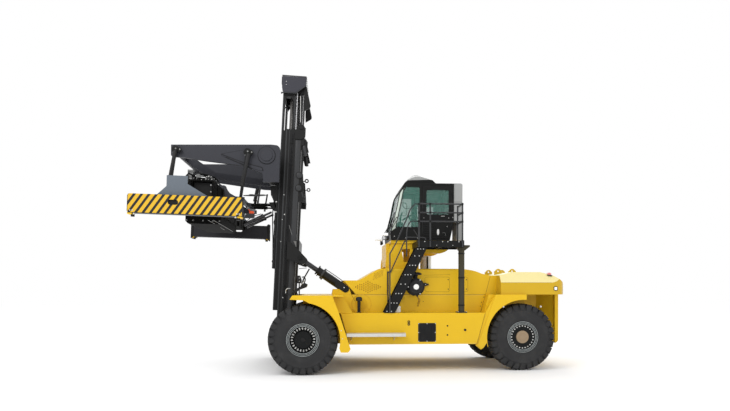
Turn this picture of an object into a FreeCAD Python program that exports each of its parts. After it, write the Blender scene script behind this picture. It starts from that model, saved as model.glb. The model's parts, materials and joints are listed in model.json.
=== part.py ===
"""Container handling forklift truck with a telescopic top-lift spreader.

The truck stands on the plane z = 0 and looks towards -X.  Its left side is -Y.
Chassis pieces are drawn from the point on the ground below the middle of the
drive axle, mast pieces from the mast's tilt pivot, and spreader pieces from
the middle of the spreader's underside.  All sizes are in millimetres.
"""
import FreeCAD, Part
import os
import re

import Sketcher

SHEET_CELLS = {
    # Wheels and axles
    "front_axle_x": -1445,
    "wheelbase": 5450,
    "tyre_diameter": 1675,
    "tyre_width": 500,
    "tyre_bead": 662,
    "tyre_wall": 600,
    "tyre_shoulder": 90,
    "crown_half": 175,
    "crown_drop": 10,
    "rim_flange": 770,
    "rim_sheet": 18,
    "rim_roll": 12,
    "dual_spacing": 600,
    "front_wheel_y": 1800,
    "rear_wheel_y": 1250,
    "kingpin_y": 900,
    "kingpin_radius": 55,
    "knuckle_spindle": 98,
    "hub_cap": 170,
    "spindle_radius": 112,
    "drive_hub": 215,
    "disc_y": 90,
    "disc": 25,
    "disc_radius": 305,
    "axle_tube": 160,
    "axle_bowl": 240,
    "steer_pin": 60,
    "steer_pin_z": 200,
    # Chassis
    "frame_y": 560,
    "frame_plate": 60,
    "frame_bottom": 620,
    "deck_z": 1450,
    "seam_z": 1900,
    "tank_y": 1600,
    "tank_bottom": 680,
    "tank_rear": 4480,
    "vent_x": 2797,
    "vent_z": 739,
    "step_front": 1036,
    "step_rear": 2457,
    "step_z": 970,
    "step_width": 300,
    "body_y": 1130,
    "sheet": 30,
    "engine_front": 2500,
    "engine_rear": 4150,
    "engine_bottom": 900,
    # Fenders
    "fender_y": 2110,
    "fender_top": 1885,
    "roof_y": 770,
    "fender_arch": 880,
    "rear_arch": 935,
    # Hood and counterweight
    "nose_x": 960,
    "notch_y": 800,
    "cowl_rear": 2080,
    "nose_top": 2254,
    "hood_shoulder": 45,
    "hood_top": 2553,
    "hood_rear": 4890,
    "hood_rear_top": 2382,
    "weight_top": 2465,
    "weight_y": 1520,
    "weight_rear": 6600,
    "crease_z": 2200,
    "corner_round": 420,
    "bevel": 190,
    "tail_y": 380,
    "tail_rear_y": 880,
    "tail_bottom": 630,
    # Cab
    "cab_y": 800,
    "cab_floor": 3300,
    "cab_roof": 4775,
    "cab_rear": 3860,
    "cab_wall": 40,
    "door_front": 3035,
    "door_rear": 3812,
    "door_gap": 6,
    "hinge_x": 3830,
    "hinge_y": -816,
    # Platform and ladder
    "leg_y": 720,
    "platform_y": 1650,
    "platform_top": 3225,
    "rail_tube": 18,
    "ladder_foot": 1960,
    "ladder_depth": 270,
    "ladder_run": 800,
    "ladder_rise": 1615,
    # Mast
    "pivot_x": -450,
    "pivot_z": 750,
    "pivot_y": 706,
    "pivot_pin": 50,
    "pivot_reach": 100,
    "mast_tilt": 2.8,
    "mast_front": -430,
    "mast_foot": -200,
    "column_y": 700,
    "outer_front": -300,
    "outer_rear": 110,
    "outer_top": 5400,
    "inner_y": 545,
    "inner_rear": -95,
    "inner_low": 720,
    "inner_top": 6310,
    "window_front": -375,
    "window_rear": -160,
    "roller": 100,
    "chain_y": 215,
    "chain": 54,
    "sheave": 74,
    "sheave_x": -130,
    "sheave_z": 6560,
    "lift_x": 35,
    "lift_y": 430,
    "rod_radius": 62,
    # Tilt cylinders
    "tilt_y": 960,
    "tilt_rod": 55,
    "tilt_eye_x": 234,
    "tilt_eye_z": 2084,
    "tilt_base_x": 1030,
    "tilt_base_z": 2040,
    # Carriage and arms
    "carriage_x": -500,
    "diagonal_y": 250,
    "arm_y": 1150,
    "arm_plate": 90,
    "tube_x": -705,
    "tube_z": 4576,
    "hanger_y": 1260,
    # Spreader
    "spreader_x": -2487,
    "spreader_z": 3646,
    "spreader_pitch": 1.75,
    "spreader_half": 3030,
    "main_half": 2450,
    "beam_width": 2438,
    "beam_height": 412,
    "damper_front": 1010,
    "damper_rear": 1600,
    "damper_z": 640,
    "lock_x": 1129.5,
}

doc = FreeCAD.newDocument("container_handler")
sizes = doc.addObject("Spreadsheet::Sheet", "sizes")
for row, (alias, number) in enumerate(SHEET_CELLS.items(), start=1):
    sizes.set(f"A{row}", alias)
    sizes.set(f"B{row}", str(number))
    sizes.setAlias(f"B{row}", alias)
doc.recompute()

NODES = []


def bound(expression):
    """Point every alias in an expression at the sheet."""
    words = r"[A-Za-z_]\w*"
    known = {"sqrt", "sin", "cos", "tan", "atan", "abs", "deg"}
    text = str(expression)
    return re.sub(words, lambda w: w[0] if w[0] in known else f"sizes.{w[0]}", text)


def number(expression):
    """The present value of an expression of sheet aliases."""
    result = sizes.evalExpression(str(expression))
    return float(getattr(result, "Value", result))


def place(piece, x="0", y="0", z="0", pitch="0"):
    """Bind a piece's Placement: a shift, and a lean about +Y in degrees."""
    piece.Placement = FreeCAD.Placement(
        FreeCAD.Vector(number(x), number(y), number(z)),
        FreeCAD.Rotation(FreeCAD.Vector(0, 1, 0), number(pitch)),
    )
    piece.setExpression("Placement.Base.x", bound(x))
    piece.setExpression("Placement.Base.y", bound(y))
    piece.setExpression("Placement.Base.z", bound(z))


def on_chassis(piece):
    """Measure a piece from the ground below the drive axle."""
    place(piece, x="front_axle_x")


def on_mast(piece):
    """Measure a piece from the mast's tilt pivot, leaning with the mast."""
    place(piece, x="front_axle_x + pivot_x", z="pivot_z", pitch="mast_tilt")


def on_spreader(piece):
    """Measure a piece from the middle of the spreader's underside."""
    place(piece, x="front_axle_x + spreader_x", z="spreader_z", pitch="spreader_pitch")


# The rod pin's place ahead of and above the barrel pin, and the length between.
LEAN = "mast_tilt * 1deg"
EYE_AHEAD = f"tilt_base_x - pivot_x - tilt_eye_x * cos({LEAN}) - tilt_eye_z * sin({LEAN})"
EYE_ABOVE = f"pivot_z - tilt_eye_x * sin({LEAN}) + tilt_eye_z * cos({LEAN}) - tilt_base_z"
TILT_LENGTH = f"sqrt(({EYE_AHEAD})^2 + ({EYE_ABOVE})^2)"
TILT_PITCH = f"atan(({EYE_ABOVE}) / ({EYE_AHEAD}))"


def on_tilt(piece):
    """Measure a tilt cylinder piece from the pins of its barrels."""
    place(piece, x="front_axle_x + tilt_base_x", z="tilt_base_z", pitch=TILT_PITCH)


def new_body(label, seat):
    """Start a sub-part: its label is its node name, and seat places it."""
    piece = doc.addObject("PartDesign::Body", label)
    piece.Label = label
    piece.AllowCompound = True
    seat(piece)
    NODES.append(piece)
    return piece


def plane_sketch(piece, role, offset):
    """A sketch on one of the body's own origin planes, moved along its normal."""
    sketch = piece.newObject("Sketcher::SketchObject", "outline")
    plane = [item for item in piece.Origin.OriginFeatures if item.Role == role][0]
    sketch.AttachmentSupport = [(plane, "")]
    sketch.MapMode = "FlatFace"
    sketch.setExpression(".AttachmentOffset.Base.z", bound(offset))
    return sketch


def arc_edge(start, end, radius):
    """The short arc between two points, drawn anticlockwise, as a sketch keeps arcs."""
    chord = end - start
    left = FreeCAD.Vector(-chord.y, chord.x, 0).normalize()
    depth = max(radius * radius - chord.Length ** 2 / 4, 0) ** 0.5
    middle = (start + end) * 0.5 + left * (depth if radius > 0 else -depth) - left * radius
    return Part.Arc(start, middle, end) if radius > 0 else Part.Arc(end, middle, start)


def arc_edge(start, end, radius):
    """The short arc between two points, drawn anticlockwise, as a sketch keeps arcs."""
    chord = end - start
    left = FreeCAD.Vector(-chord.y, chord.x, 0).normalize()
    depth = max(radius * radius - chord.Length ** 2 / 4, 0) ** 0.5
    middle = (start + end) * 0.5 + left * (depth if radius > 0 else -depth) - left * radius
    return Part.Arc(start, middle, end) if radius > 0 else Part.Arc(end, middle, start)


def arc_edge(start, end, radius):
    """The short arc between two points, drawn anticlockwise, as a sketch keeps arcs."""
    chord = end - start
    left = FreeCAD.Vector(-chord.y, chord.x, 0).normalize()
    depth = max(radius * radius - chord.Length ** 2 / 4, 0) ** 0.5
    middle = (start + end) * 0.5 + left * (depth if radius > 0 else -depth) - left * radius
    return Part.Arc(start, middle, end) if radius > 0 else Part.Arc(end, middle, start)


def polygon(sketch, points):
    """Draw a closed outline whose every corner is bound to the sheet.

    A corner with a third value starts an arc of that radius, which bends
    to the left of the way drawn if the value is above 0.
    """
    corners = [FreeCAD.Vector(number(point[0]), number(point[1]), 0) for point in points]
    first = sketch.GeometryCount
    ends = []
    for index, point in enumerate(points):
        start, end = corners[index], corners[(index + 1) % len(points)]
        bend = number(point[2]) if len(point) == 3 else 0
        edge = arc_edge(start, end, bend) if bend else Part.LineSegment(start, end)
        sketch.addGeometry(edge, False)
        ends.append((2, 1) if bend < 0 else (1, 2))
    for index in range(len(points)):
        after = (index + 1) % len(points)
        sketch.addConstraint(Sketcher.Constraint(
            "Coincident", first + index, ends[index][1], first + after, ends[after][0]))
    for index, point in enumerate(points):
        values = (corners[index].x, corners[index].y)
        for kind, text, value in zip(("DistanceX", "DistanceY"), point[:2], values):
            bind(sketch, Sketcher.Constraint(kind, first + index, ends[index][0], value), text)
        if len(point) == 3:
            value = abs(number(point[2]))
            bind(sketch, Sketcher.Constraint("Radius", first + index, value), f"abs({point[2]})")


def bind(sketch, constraint, text):
    """Add a sized constraint and bind its value to an expression of the sheet."""
    place_of = sketch.addConstraint(constraint)
    sketch.setExpression(f"Constraints[{place_of}]", bound(text))


def circle(sketch, across, up, radius):
    """Draw a circle whose middle and radius are bound to the sheet."""
    middle = FreeCAD.Vector(number(across), number(up), 0)
    index = sketch.addGeometry(Part.Circle(middle, FreeCAD.Vector(0, 0, 1), number(radius)), False)
    bind(sketch, Sketcher.Constraint("DistanceX", index, 3, number(across)), across)
    bind(sketch, Sketcher.Constraint("DistanceY", index, 3, number(up)), up)
    bind(sketch, Sketcher.Constraint("Radius", index, number(radius)), radius)


# Each direction names its plane and how the plane's normal runs along the axis.
PLANES = {"x": ("YZ_Plane", 1), "y": ("XZ_Plane", -1), "z": ("XY_Plane", 1)}


def feature(piece, kind, direction, start, end, draw):
    """Add a Pad or a Pocket between two places along an axis."""
    role, sign = PLANES[direction]
    low = start if sign > 0 else f"-({start})"
    sketch = plane_sketch(piece, role, low)
    draw(sketch)
    step = piece.newObject(kind, "step")
    step.Profile = sketch
    step.Reversed = (sign < 0) != (kind == "PartDesign::Pocket")
    step.setExpression("Length", bound(f"({end}) - ({start})"))
    sketch.Visibility = False
    return step


def add(piece, direction, points, start, end):
    """Pad a polygon from start to end along an axis."""
    return feature(piece, "PartDesign::Pad", direction, start, end, lambda s: polygon(s, points))


def cut(piece, direction, points, start, end):
    """Pocket a polygon from start to end along an axis."""
    return feature(piece, "PartDesign::Pocket", direction, start, end, lambda s: polygon(s, points))


def add_round(piece, direction, centre, radius, start, end):
    """Pad a circle from start to end along an axis."""
    draw = lambda s: circle(s, centre[0], centre[1], radius)
    return feature(piece, "PartDesign::Pad", direction, start, end, draw)


def cut_round(piece, direction, centre, radius, start, end):
    """Pocket a circle from start to end along an axis."""
    draw = lambda s: circle(s, centre[0], centre[1], radius)
    return feature(piece, "PartDesign::Pocket", direction, start, end, draw)


def box(x0, x1, y0, y1):
    """The four corners of a rectangle."""
    return [(x0, y0), (x1, y0), (x1, y1), (x0, y1)]


def turn(piece, points):
    """Revolve an outline, given as places along Y and radii, about the Y axis."""
    sketch = plane_sketch(piece, "YZ_Plane", "0")
    polygon(sketch, points)
    step = piece.newObject("PartDesign::Revolution", "turned")
    step.Profile = sketch
    step.ReferenceAxis = (sketch, ["H_Axis"])
    step.Angle = 360
    sketch.Visibility = False
    return step


def soften(piece, radius, along, *places):
    """Round the edges that run along an axis through the given places."""
    doc.recompute()
    tip = piece.Tip
    others = [axis for axis in "xyz" if axis != along]
    wanted = [(number(a), number(b)) for a, b in places]
    names = []
    for index, edge in enumerate(tip.Shape.Edges, start=1):
        ends = [vertex.Point for vertex in edge.Vertexes]
        if len(ends) == 2 and any(on_line(ends, others, place) for place in wanted):
            names.append(f"Edge{index}")
    if not names:
        raise RuntimeError(f"{piece.Label}: no edge along {along} at {wanted}")
    rounded = piece.newObject("PartDesign::Fillet", "rounded")
    rounded.Base = (tip, names)
    rounded.setExpression("Radius", bound(radius))


def on_line(ends, axes, place):
    """Whether both ends of an edge have the given values on two axes."""
    near = 0.5
    return all(abs(getattr(end, axis) - value) < near for end in ends for axis, value in zip(axes, place))


def soften(piece, radius, along, *places):
    """Round the edges that run along an axis through the given places."""
    doc.recompute()
    tip = piece.Tip
    others = [axis for axis in "xyz" if axis != along]
    wanted = [(number(a), number(b)) for a, b in places]
    names = []
    for index, edge in enumerate(tip.Shape.Edges, start=1):
        ends = [vertex.Point for vertex in edge.Vertexes]
        if len(ends) == 2 and any(on_line(ends, others, place) for place in wanted):
            names.append(f"Edge{index}")
    if not names:
        raise RuntimeError(f"{piece.Label}: no edge along {along} at {wanted}")
    rounded = piece.newObject("PartDesign::Fillet", "rounded")
    rounded.Base = (tip, names)
    rounded.setExpression("Radius", bound(radius))


def on_line(ends, axes, place):
    """Whether both ends of an edge have the given values on two axes."""
    near = 0.5
    return all(abs(getattr(end, axis) - value) < near for end in ends for axis, value in zip(axes, place))


def soften(piece, radius, along, *places):
    """Round the edges that run along an axis through the given places."""
    doc.recompute()
    tip = piece.Tip
    others = [axis for axis in "xyz" if axis != along]
    wanted = [(number(a), number(b)) for a, b in places]
    names = []
    for index, edge in enumerate(tip.Shape.Edges, start=1):
        ends = [vertex.Point for vertex in edge.Vertexes]
        if len(ends) == 2 and any(on_line(ends, others, place) for place in wanted):
            names.append(f"Edge{index}")
    if not names:
        raise RuntimeError(f"{piece.Label}: no edge along {along} at {wanted}")
    rounded = piece.newObject("PartDesign::Fillet", "rounded")
    rounded.Base = (tip, names)
    rounded.setExpression("Radius", bound(radius))


def on_line(ends, axes, place):
    """Whether both ends of an edge have the given values on two axes."""
    near = 0.5
    return all(abs(getattr(end, axis) - value) < near for end in ends for axis, value in zip(axes, place))


SIDES = (("left", -1), ("right", 1))


def span(side, low, high):
    """A stretch of |y| on one side of the truck, in rising order of y."""
    if side < 0:
        return f"-({high})", f"-({low})"
    return low, high


# ---------------------------------------------------------------- wheels

def at_hub(x, y):
    """A seat for a wheel piece at a hub centre."""
    return lambda piece: place(piece, x=x, y=y, z="tyre_diameter / 2")


def mirrored(side, rows):
    """Rows of |y| and radius, with any arc, on one side of the truck.

    The left side is drawn in the other order, so that its arcs bend the same way.
    """
    if side > 0:
        return rows
    bends = [row[2:] for row in rows]
    flipped = [(f"-({row[0]})", row[1], *bends[index - 1]) for index, row in enumerate(rows)]
    return flipped[::-1]


def tyre_outline(side, middle):
    """Section of a tyre whose tread is centred at a distance outside the hub."""
    crown = "(crown_half^2 + crown_drop^2) / (2 * crown_drop)"
    half = "tyre_width / 2"
    return mirrored(side, [
        (f"{middle} - {half} + 17", "tyre_bead / 2"),
        (f"{middle} + {half} - 17", "tyre_bead / 2"),
        (f"{middle} + {half} - 18", "rim_flange / 2 + 10", "tyre_wall"),
        (f"{middle} + {half} - 8", "tyre_diameter / 2 - 175"),
        (f"{middle} + {half} - 20", "tyre_diameter / 2 - 70", "tyre_shoulder"),
        (f"{middle} + crown_half", "tyre_diameter / 2 - crown_drop", crown),
        (f"{middle} - crown_half", "tyre_diameter / 2 - crown_drop", "tyre_shoulder"),
        (f"{middle} - {half} + 20", "tyre_diameter / 2 - 70"),
        (f"{middle} - {half} + 8", "tyre_diameter / 2 - 175", "tyre_wall"),
        (f"{middle} - {half} + 18", "rim_flange / 2 + 10"),
    ])


def rim_band(outer):
    """The outer stretch of a rim's section: both flanges and the tyre's seat."""
    edge, seat = "rim_flange / 2", "tyre_bead / 2"
    return [
        (f"{outer} - 12", edge), (outer, edge, "-1.4 * rim_roll"), (outer, f"{edge} - 2 * rim_roll"),
        (f"{outer} - 4", seat), (f"{outer} - 22", f"{seat} - rim_sheet + 3"),
    ]


def front_wheels():
    """Twin wheels on each side of the drive axle, bolted to one hub."""
    edge, seat, inside = "rim_flange / 2", "tyre_bead / 2", "tyre_bead / 2 - rim_sheet"
    gap_in, gap_out = "tyre_width / 2 - dual_spacing", "-tyre_width / 2"
    for name, side in SIDES:
        hub = at_hub("front_axle_x", f"({side}) * front_wheel_y")
        tyres = new_body(f"{name}_front_tyres", hub)
        turn(tyres, tyre_outline(side, "0"))
        turn(tyres, tyre_outline(side, "-dual_spacing"))
        rims = new_body(f"{name}_front_rims", hub)
        back = "-dual_spacing - tyre_width / 2"
        turn(rims, mirrored(side, [
            ("-780", "spindle_radius + 3"), ("-780", "drive_hub"), ("disc_y - disc", "drive_hub"),
            ("disc_y - disc", inside), (back, inside), (back, edge), (f"{back} + 12", edge),
            (f"{back} + 16", seat), (f"{gap_in} - 16", seat), (f"{gap_in} - 12", edge),
            (f"{gap_out} + 12", edge), (f"{gap_out} + 16", seat), ("tyre_width / 2 - 16", seat),
            *rim_band("tyre_width / 2"),
            ("disc_y + 35", "disc_radius + 5"), ("disc_y", "disc_radius - 20"),
            ("disc_y", "drive_hub + 10"), ("disc_y + 60", "drive_hub"), ("disc_y + 75", "drive_hub - 15"),
            ("disc_y + 75", "0"), ("disc_y + 10", "0"), ("disc_y + 10", "spindle_radius + 3"),
        ]))


def rear_wheels():
    """One wheel on each steered knuckle, with a domed hub cap."""
    edge, seat, inside = "rim_flange / 2", "tyre_bead / 2", "tyre_bead / 2 - rim_sheet"
    for name, side in SIDES:
        hub = at_hub("front_axle_x + wheelbase", f"({side}) * rear_wheel_y")
        turn(new_body(f"{name}_rear_tyre", hub), tyre_outline(side, "0"))
        rim = new_body(f"{name}_rear_rim", hub)
        turn(rim, mirrored(side, [
            ("-150", "knuckle_spindle + 2"), ("-150", "knuckle_spindle + 90"),
            ("-25", "knuckle_spindle + 90"), ("-25", inside), ("-tyre_width / 2", inside),
            ("-tyre_width / 2", edge), ("-tyre_width / 2 + 12", edge), ("-tyre_width / 2 + 16", seat),
            ("tyre_width / 2 - 16", seat), *rim_band("tyre_width / 2"),
            ("40", "disc_radius + 5"), ("5", "disc_radius - 20"), ("5", "hub_cap + 15"),
            ("25", "hub_cap + 10"), ("95", "hub_cap", "-hub_cap / 5"), ("125", "hub_cap - 35"),
            ("125", "0"), ("70", "0"), ("70", "knuckle_spindle + 2"),
        ]))


def axles():
    """The drive axle, and the steer axle with a knuckle at each end."""
    drive = new_body("drive_axle", at_hub("front_axle_x", "0"))
    turn(drive, [
        ("-1860", "0"), ("-1860", "spindle_radius"), ("-960", "spindle_radius"), ("-940", "axle_tube"),
        ("-430", "axle_tube"), ("-250", "axle_bowl - 40", "-400"), ("-120", "axle_bowl"),
        ("120", "axle_bowl", "-400"), ("250", "axle_bowl - 40"), ("430", "axle_tube"),
        ("940", "axle_tube"), ("960", "spindle_radius"), ("1860", "spindle_radius"), ("1860", "0"),
    ])
    add_round(drive, "x", ("0", "0"), "110", "200", "430")
    steer = new_body("steer_axle", at_hub("front_axle_x + wheelbase", "0"))
    beam = [
        ("-650", "-95"), ("-420", "-130"), ("420", "-130"), ("650", "-95"),
        ("650", "95"), ("420", "130"), ("-420", "130"), ("-650", "95"),
    ]
    add(steer, "x", beam, "-140", "140")
    add(steer, "x", [("-110", "110"), ("110", "110"), ("85", "steer_pin_z + 85"),
    ("-85", "steer_pin_z + 85")],
        "-150", "150")
    cut_round(steer, "x", ("0", "steer_pin_z"), "steer_pin + 0.05", "-150", "150")
    add_round(steer, "y", ("-225", "0"), "75", "-360", "360")
    add_round(steer, "y", ("-225", "0"), "32", "-520", "520")
    for y in ("-300", "260"):
        add(steer, "y", box("-230", "-140", "-60", "60"), y, f"{y} + 40")
    for _, side in SIDES:
        low, high = span(side, "650", "kingpin_y")
        add(steer, "z", box("-60", "60", low, high), "-95", "95")
        add_round(steer, "z", ("0", f"({side}) * kingpin_y"), "85", "-95", "95")
        cut_round(steer, "z", ("0", f"({side}) * kingpin_y"), "kingpin_radius + 1", "-95", "95")
    for name, side in SIDES:
        pin = at_hub("front_axle_x + wheelbase", f"({side}) * kingpin_y")
        knuckle = new_body(f"{name}_knuckle", pin)
        add_round(knuckle, "z", ("0", "0"), "kingpin_radius", "-170", "170")
        yoke = span(side, "-80", "160")
        add(knuckle, "z", box("-75", "75", *yoke), "102", "170")
        add(knuckle, "z", box("-75", "75", *yoke), "-170", "-102")
        add(knuckle, "z", box("-75", "75", *span(side, "95", "160")), "-102", "102")
        low, high = span(side, "160", "rear_wheel_y - kingpin_y + 50")
        add_round(knuckle, "y", ("0", "0"), "knuckle_spindle", low, high)


# ---------------------------------------------------------------- chassis

def chassis_frame():
    """Two plate rails with cross members, mast pivots and the steer axle's hanger."""
    frame = new_body("chassis_frame", on_chassis)
    rail = [
        ("-225", "frame_bottom"), ("4200", "frame_bottom"), ("4420", "frame_bottom + 150"),
        ("4420", "deck_z"), ("nose_x", "deck_z"), ("nose_x", "fender_top - 25"),
        ("-60", "fender_top - 25"), ("-60", "1240"), ("-225", "1120"),
    ]
    for _, side in SIDES:
        add(frame, "y", rail, *span(side, "frame_y", "frame_y + frame_plate"))
        cut_round(frame, "y", ("0", "tyre_diameter / 2"), "axle_tube + 2",
                  *span(side, "frame_y", "frame_y + frame_plate"))
    for start in ("700", "1900", "4200"):
        across = box(start, f"{start} + 60", "frame_bottom + 60", "deck_z - 60")
        add(frame, "y", across, "-frame_y", "frame_y")
    for start in ("engine_front + 80", "engine_rear - 200"):
        across = box(start, f"{start} + 120", "engine_bottom - 90", "engine_bottom")
        add(frame, "y", across, "-frame_y", "frame_y")
    spine = [
        ("4260", "deck_z"), ("4260", "1000"), ("4600", "1000"), ("5050", "1150"),
        ("5850", "1150"), ("5850", "deck_z"),
    ]
    add(frame, "y", spine, "-tail_y", "tail_y")
    for start in ("wheelbase - 205", "wheelbase + 165"):
        plate = box(start, f"{start} + 40", "tyre_diameter / 2 + steer_pin_z - 80", "1150")
        add(frame, "y", plate, "-120", "120")
    pin = ("0", "tyre_diameter / 2 + steer_pin_z")
    add_round(frame, "x", pin, "steer_pin", "wheelbase - 205", "wheelbase + 205")
    reach = "pivot_reach"
    ear = [
        ("-165", "1120"), ("pivot_x", f"pivot_z + {reach}", f"1.02 * {reach}"),
        ("pivot_x", f"pivot_z - {reach}"),
        ("-165", "frame_bottom"),
    ]
    for _, side in SIDES:
        block = box("-225", "-165", "frame_bottom", "1120")
        add(frame, "y", block, *span(side, "frame_y + frame_plate", "pivot_y"))
        add(frame, "y", ear, *span(side, "pivot_y", "pivot_y + frame_plate"))
        add_round(frame, "y", ("pivot_x", "pivot_z"), "pivot_pin", *span(side, "600", "pivot_y"))
        add_round(frame, "y", ("pivot_x", "pivot_z"), "pivot_pin + 20",
                  *span(side, "pivot_y + frame_plate", "pivot_y + frame_plate + 15"))


def side_tanks():
    """A tank along each side, with a vent recess and the step that hangs from it."""
    tank = new_body("side_tanks", on_chassis)
    step = new_body("side_steps", on_chassis)
    profile = [
        ("1110", "tank_bottom"), ("tank_rear - 220", "tank_bottom"), ("tank_rear", "deck_z"),
        ("890", "deck_z"),
    ]
    for _, side in SIDES:
        outer = f"({side}) * tank_y"
        add(tank, "y", profile, *span(side, "frame_y + frame_plate", "tank_y"))
        recess = box("vent_x", "vent_x + 445", "vent_z", "vent_z + 465")
        cut(tank, "y", recess, *span(side, "tank_y - 25", "tank_y"))
        for z in ("906", "1132"):
            cut_round(tank, "y", ("3528", z), "22", *span(side, "tank_y - 40", "tank_y"))
        soften(tank, "18", "x", (outer, "deck_z"), (outer, "tank_bottom"))
        low, high = span(side, "tank_y", "tank_y + step_width")
        add(step, "y", box("step_front", "step_rear", "step_z - 40", "step_z"), low, high)
        lip = box("step_front", "step_rear", "step_z - 75", "step_z - 40")
        add(step, "y", lip, *span(side, "tank_y + step_width - 12", "tank_y + step_width"))
        for x in ("step_front + 120", "step_rear - 260"):
            knee = [(outer, "step_z - 40"), (f"({side}) * (tank_y + step_width - 12)", "step_z - 40"),
                    (outer, "step_z - 190")]
            add(step, "x", knee, x, f"{x} + 14")


def fenders():
    """Front fenders over the twin wheels, and arches ahead of the steered ones."""
    fender = new_body("front_fenders", on_chassis)
    arch = new_body("rear_fenders", on_chassis)
    hub = ("0", "tyre_diameter / 2")
    top = "fender_top"
    cheek = [
        ("-305", f"{top} - 95"), ("30", f"{top} - 115"), ("180", f"{top} - 200"), ("500", "1300"),
        ("800", "tyre_diameter / 2"), ("873", "600"), ("895", "545"), ("1065", "545"),
        ("1124", "625"), ("833", "1510"), ("690", top), ("-245", top),
    ]
    roof = [("-245", top), ("-305", f"{top} - 95"), ("-275", f"{top} - 95"), ("-230", f"{top} - 25"),
            ("nose_x", f"{top} - 25"), ("nose_x", top)]
    back = [("665", f"{top} - 25"), ("808", "1510"), ("1099", "625"), ("1124", "625"), ("833", "1510"),
            ("690", f"{top} - 25")]
    web = [("690", f"{top} - 25"), ("833", "1510"), ("855", "deck_z"), ("1190", "deck_z"),
           ("nose_x", f"{top} - 25")]
    for _, side in SIDES:
        edge = span(side, "fender_y - 25", "fender_y")
        add(fender, "y", cheek, *edge)
        cut_round(fender, "y", hub, "fender_arch", *edge)
        add(fender, "y", roof, *span(side, "roof_y", "fender_y - 25"))
        add(fender, "y", back, *span(side, "tank_y - 25", "fender_y - 25"))
        add(fender, "y", web, *span(side, "tank_y - 25", "tank_y"))
        slope = [
            ("nose_x", f"{top} - 25"), ("1190", "deck_z"),
            ("1160", "deck_z"), ("nose_x - 28", f"{top} - 25"),
        ]
        add(fender, "y", slope, *span(side, "body_y", "tank_y - 25"))
    add(fender, "y", box("-60", "nose_x", f"{top} - 25", top), "-roof_y", "roof_y")
    wheel = ("wheelbase", "tyre_diameter / 2")
    leg = [
        ("tank_rear - 230", "640"), ("4370", "540"), ("4430", "590"), ("4700", "1000"),
        ("5516", "1700"), ("5516", "seam_z"), ("4735", "seam_z"), ("tank_rear", "deck_z"),
    ]
    lip = [
        ("4281", "650"), ("4363", "545"), ("4430", "590"), ("4700", "1000"), ("5516", "1700"),
        ("5516", "seam_z"), ("4735", "seam_z"),
    ]
    for _, side in SIDES:
        inset = span(side, "tank_y - 150", "tank_y - 15")
        add(arch, "y", leg, *inset)
        cut_round(arch, "y", wheel, "rear_arch", *inset)
        edge = span(side, "tank_y - 15", "tank_y")
        add(arch, "y", lip, *edge)
        cut_round(arch, "y", wheel, "rear_arch", *edge)
        panel = [("tank_rear", "deck_z"), ("4560", "deck_z"), ("4735", "seam_z"), ("4600", "seam_z")]
        add(arch, "y", panel, *span(side, "body_y", "tank_y - 150"))


def bodywork():
    """The lower body, the louvred cowl ahead of it and the hood over the engine."""
    lower = new_body("lower_body", on_chassis)
    outline = [
        ("nose_x", "deck_z"), ("4470", "deck_z"), ("4600", "seam_z"), ("nose_x", "seam_z"),
    ]
    add(lower, "y", outline, "-body_y", "body_y")
    inside = [
        ("nose_x + sheet", "deck_z"), ("4440", "deck_z"), ("4570", "seam_z"), ("nose_x + sheet", "seam_z"),
    ]
    cut(lower, "y", inside, "-body_y + sheet", "body_y - sheet")
    cowl = new_body("front_cowl", on_chassis)
    outline = [
        ("nose_x", "seam_z"), ("cowl_rear", "seam_z"), ("cowl_rear", "hood_top"),
        ("2000", "hood_top", "360"), ("1838", "hood_top - 22"), ("1369", "nose_top"), ("nose_x", "nose_top"),
    ]
    add(cowl, "y", outline, "-body_y", "body_y")
    inside = [
        ("nose_x + sheet", "seam_z"), ("cowl_rear", "seam_z"), ("cowl_rear", "hood_top - sheet"),
        ("1850", "hood_top - sheet - 20"), ("1380", "nose_top - sheet"),
        ("nose_x + sheet", "nose_top - sheet"),
    ]
    cut(cowl, "y", inside, "-notch_y + sheet", "notch_y - sheet")
    notch = [("nose_x", "seam_z"), ("1290", "seam_z"), ("985", "nose_top"), ("nose_x", "nose_top")]
    for _, side in SIDES:
        cut(cowl, "y", notch, *span(side, "notch_y", "body_y"))
    hood = new_body("engine_hood", on_chassis)
    shoulder = "hood_shoulder"
    across = [
        ("-body_y", "seam_z"), ("body_y", "seam_z"), ("body_y", f"hood_top - {shoulder}", shoulder),
        (f"body_y - {shoulder}", "hood_top"), (f"-body_y + {shoulder}", "hood_top", shoulder),
        ("-body_y", f"hood_top - {shoulder}"),
    ]
    add(hood, "x", across, "cowl_rear", "hood_rear")
    above = [
        ("hood_rear + 1", "hood_rear_top"), ("hood_rear + 1", "hood_top + 1"), ("3840", "hood_top + 1"),
        ("3840", "hood_top", "-2134"), ("4240", "2515", "-1100"), ("4500", "2430"), ("4735", "hood_rear_top"),
    ]
    cut(hood, "y", above, "-body_y", "body_y")
    inside = [
        ("cowl_rear", "seam_z"), ("4570", "seam_z"), ("4610", "2020"), ("4690", "hood_rear_top - 20"),
        ("4490", "2398"), ("4230", "2483"), ("3835", "hood_top - sheet"), ("cowl_rear", "hood_top - sheet"),
    ]
    cut(hood, "y", inside, "-body_y + sheet", "body_y - sheet")
    engine = new_body("engine_block", on_chassis)
    add(engine, "z", box("engine_front", "engine_rear", "-430", "430"), "engine_bottom", "2300")


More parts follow.
